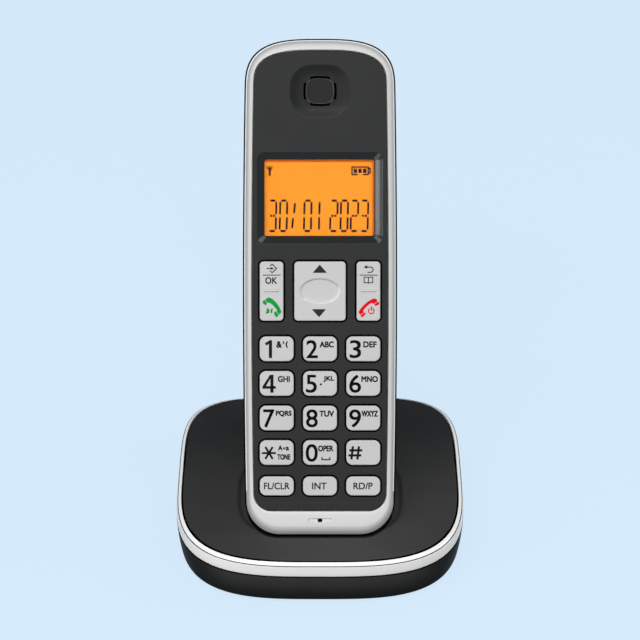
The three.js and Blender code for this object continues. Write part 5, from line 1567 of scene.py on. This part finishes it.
for name, x in (("talk", -ROCKER_X), ("end", ROCKER_X)):
    ridge = lean(shifted(ridge_form(), x, ROCKER_ROW + 0.2))
    add_piece(f"{name}_ridge", ridge, f"{name}_rocker_key", key_grey)
RULE = inked(0.27, (-2.8, 5.07), (2.87, 5.07))
add_print("talk", "talk_rocker_key", ink_black, [
    inked(0.32, (-1.56, 7.17), (0.0, 7.17)),
    ink_patch((-0.17, 6.72), (0.77, 7.17), (-0.17, 7.62)),
    inked(0.3, (-0.51, 7.9), (0.2, 8.5), (1.6, 7.17), (0.2, 5.84), (-0.51, 6.42)),
    RULE,
    letters("OK", -1.99, 1.76, 2.3, 4.44, FINE_WEIGHT),
])
# The talk sign's outlines: its bent body, its two caps, the loudspeaker and its sound.
GREEN_SIGN = (
    ((-2.02, -2.68), (-1.56, -2.27), (-0.98, -1.96), (-0.34, -2.09), (0.29, -2.5), (0.97, -3.06),
     (1.58, -3.72), (2.12, -4.44), (2.59, -5.26), (2.96, -6.07), (3.14, -6.5), (2.84, -7.04),
     (2.32, -7.47), (1.56, -6.3), (1.76, -6.2), (1.65, -5.84), (1.1, -5.21), (0.56, -4.58), (0, -4.03),
     (-0.57, -3.72), (-0.93, -3.65), (-1.32, -3.67)),
    ((-2.9, -3.31), (-2.6, -3), (-2.13, -2.75), (-1.41, -3.76), (-1.68, -4.4), (-2.02, -4.4),
     (-2.56, -3.99)),
    ((0.72, -6.77), (0.97, -6.48), (1.44, -6.36), (2.21, -7.54), (1.74, -8.22), (1.42, -8.17),
     (0.92, -7.47)),
    ((-1.43, -5.12), (-0.61, -5.84), (-0.68, -6.75), (-1.86, -7.24), (-1.61, -6.2)),
    ((-0.23, -5.59), (0.38, -5.5), (0.22, -6.91), (-0.39, -6.84)),
)
green_forms = [ink_patch(*outline) for outline in GREEN_SIGN]
add_print("talk_sign", "talk_rocker_key", ink_green, green_forms)

# The right rocker: a return arrow, a rule, an open book, a ridge and the end sign in red, a handset
# with a ring and a short stroke beside it.
end_forms = [
    ink_patch((-1.55, 7.6), (-0.42, 7.02), (-0.42, 8.16)),
    inked(0.32, (-0.5, 7.6), (0.5, 7.6), *arc(0.62, 6.78, 0.83, 85, -85, 14), (0.5, 5.95), (-0.34, 5.95)),
    RULE,
]
for side in (-1, 1):
    fold, edge = side * 0.34, side * 1.36
    end_forms.append(inked(0.28, (0, 2.5), (fold, 2.68), (edge, 2.68), (edge, 4.42), (fold, 4.42), (0, 4.25)))
end_forms.append(inked(0.26, (0, 2.4), (0, 4.35)))
add_print("end", "end_rocker_key", ink_black, end_forms)
RED_SIGN = (
    ((1.96, -2.25), (2.64, -2.57), (2.88, -3.18), (1.84, -3.92), (1.46, -3.97), (1.12, -3.7),
     (0.31, -4.08), (-0.57, -4.87), (-1.3, -5.66), (-1.64, -6.16), (-1.55, -6.41), (-1.23, -6.54),
     (-2.54, -7.45), (-2.9, -7.09), (-3.13, -6.59), (-2.83, -6.02), (-2.18, -5.12), (-1.34, -4.24),
     (-0.44, -3.47), (0.49, -2.84), (1.28, -2.41)),
    ((1.87, -4.06), (2.88, -3.31), (3.52, -3.65), (3.31, -4.15), (2.82, -4.49), (2.18, -4.71)),
    ((-2.45, -7.58), (-1.21, -6.66), (-0.8, -7.02), (-1.14, -7.47), (-1.68, -8.04), (-2.09, -8.31)),
)
red_forms = [ink_patch(*outline) for outline in RED_SIGN]
red_forms.append(inked(0.36, *arc(0.9, -6.2, 0.86, 125, 415, 26)))
red_forms.append(inked(0.42, (1.0, -4.8), (0.9, -6.1)))
add_print("end_sign", "end_rocker_key", ink_red, red_forms)

# The navigation key: one triangle above its dish and one below.
nav_forms = [
    ink_patch((-2.3, 5.78), (2.2, 5.78), (-0.1, 8.35)), ink_patch((-2.6, -5.67), (-0.3, -8.22), (1.9, -5.67)),
]
add_print("navigation", "navigation_key", ink_grey, nav_forms)

# ---------------------------------------------------------------------------------------------
# Insides of the handset: the rubber mat under the keys, the green board that carries it, the
# earpiece, the ringer and the microphone, and two gold pads that rest on the base's contacts.
board_paint = plastic("board_green", (0.012, 0.13, 0.04), 0.35, grain=0.3, mottle=0.12, specular=0.5)
refinished(rubber, "keypad_mat")
refinished(board_paint, "handset_board", "base_board")

# Profiles of the two loudspeakers from front to back: a rim, a coned skin with a dome, a can and a
# magnet. Each row is a radius and a height.
EARPIECE = (
    (1.9, -2.45), (2.6, -2.9), (3.0, -3.0), (6.6, -2.35), (7.2, -2.2), (7.6, -2.3), (7.9, -1.95),
    (8.4, -1.95), (8.5, -2.1), (8.5, -3.4), (8.3, -3.6), (5.6, -3.7), (5.5, -4.9), (5.3, -5.0),
)
RINGER = (
    (2.0, -25.3), (2.7, -24.9), (3.1, -24.8), (7.0, -25.4), (7.6, -25.6), (8.1, -25.5), (8.4, -25.78),
    (8.9, -25.78), (9.0, -25.6), (9.0, -24.2), (8.8, -24.0), (6.1, -23.9), (6.0, -21.95), (5.8, -21.8),
)
MICROPHONE = ((1.7, -3.45), (1.95, -3.42), (2.0, -3.6), (2.0, -4.9))
for name, node, profile, along in (
    ("earpiece_capsule", "earpiece_speaker", EARPIECE, EAR_MIDDLE),
    ("ringer_capsule", "ringer_speaker", RINGER, RINGER_MIDDLE),
    ("microphone_capsule", "microphone", MICROPHONE, MIC_ALONG),
):
    add_piece(name, lean(turned_bar(profile, 0, along, 64)), "handset", steel, [node])

gold = steel_like("gold_plate", (0.78, 0.56, 0.22), 0.26)
PAD_SHAPE = ((1.5, 7.75), (1.9, 7.78), (2.1, 7.9), (2.2, 8.15), (2.2, 10.2), (3.1, 10.2), (3.1, 10.9))
for side, name in SIDES:
    pad = on_base(turned_bar(PAD_SHAPE, side * PAD_X, PAD_BASE_Y, 56))
    add_piece("charging_pad_" + name, pad, "handset", gold, ["charge_pad_" + name])
    refinished(gold, "charge_contact_" + name)

# ---------------------------------------------------------------------------------------------
# Back of the base: a socket for the flat plug of the telephone line with four gold wires, a like but
# narrower one with two wires for the power lead, and between them the button that pages the handset.
SOCKET_Z = 6.3
SOCKET_HEIGHT = 7.2
SOCKET_DEPTH = 8.4
BACK_Y = 46.3
FRONT_Y = 33.3
OPENING_CORNER = 0.4
WIRE_RADIUS = 0.22
WIRE_STEP = 1.02
# A wire's line: how far in from the socket's face, and how high.
WIRE_LINE = ((1.0, 8.6), (1.6, 8.3), (4.5, 6.6), (8.2, 5.2))
# Each socket: its name, its middle, its body's width, its opening's width and height, its wires.
SOCKETS = (("line", -14.0, 11.6, (9.4, 5.2), 4), ("power", 14.0, 8.8, (6.4, 5.0), 2))
BUTTON_SIZE = (9, 4.6)
BUTTON_Z = 6.4


def along_y(form):
    """Turns a form whose rings rise in height so that they run to the back instead: height becomes
    depth, and its second axis becomes height. Its faces are turned outwards with its mesh."""
    points, faces = form
    return np.stack([points[:, 0], points[:, 2], points[:, 1]], -1), faces


socket_black = plastic("socket_black", (0.013, 0.013, 0.0135), 0.3, specular=0.4)


def socket_form(x, width, opening):
    """A socket's body from its front end, inside the base, to its face, then in to the opening and
    down to its floor."""
    rings = []
    for (across, high), corner, y in (
        ((width, SOCKET_HEIGHT), 0.5, FRONT_Y),
        ((width, SOCKET_HEIGHT), 0.5, BACK_Y - 0.25),
        ((width - 0.5, SOCKET_HEIGHT - 0.5), 0.4, BACK_Y),
        ((opening[0] + 0.5, opening[1] + 0.5), OPENING_CORNER + 0.2, BACK_Y),
        (opening, OPENING_CORNER, BACK_Y - 0.3),
        (opening, OPENING_CORNER, BACK_Y - SOCKET_DEPTH),
    ):
        rings.append(raised(rounded_outline(across, high, corner, x, SOCKET_Z), y))
    return along_y(skin(rings))


for name, x, width, opening, count in SOCKETS:
    socket = on_base(socket_form(x, width, opening))
    add_piece(name + "_jack", socket, "base", socket_black, [name + "_socket"])
for name, x, width, opening, count in SOCKETS:
    wires = []
    for row in range(count):
        side, up = (circle_of(10) * WIRE_RADIUS).T
        side = side + x + (row - (count - 1) / 2) * WIRE_STEP
        rings = [
            np.column_stack([side, np.full(len(up), BACK_Y - far), up + high])
            for far, high in smooth_line(WIRE_LINE, 6)
        ]
        wires.append(skin(rings))
    add_piece(name + "_wires", on_base(together(*wires)), "base", gold)

# The button: a flange inside the wall, a round edge, and a face that is slightly hollow.
BUTTON_SIDE = ((-0.8, 38.2), (-0.8, 40.5), (0, 40.5), (0, 47.1), (0.06, 47.35), (0.2, 47.5), (0.45, 47.58))
BUTTON_FACE = ((0.7, 47.6), (0.45, 47.52), (0.2, 47.47))
width, height = BUTTON_SIZE
button_rings = []
for inset, y in BUTTON_SIDE:
    outline = rounded_outline(width - 2 * inset, height - 2 * inset, 1.6 - inset, 0, BUTTON_Z)
    button_rings.append(raised(outline, y))
for share, y in BUTTON_FACE:
    outline = rounded_outline(width * share, height * share, 1.1 * share, 0, BUTTON_Z)
    button_rings.append(raised(outline, y))
button = on_base(along_y(skin(button_rings)))
add_piece("page_cap", button, "page_button", key_grey, ["page_button"])
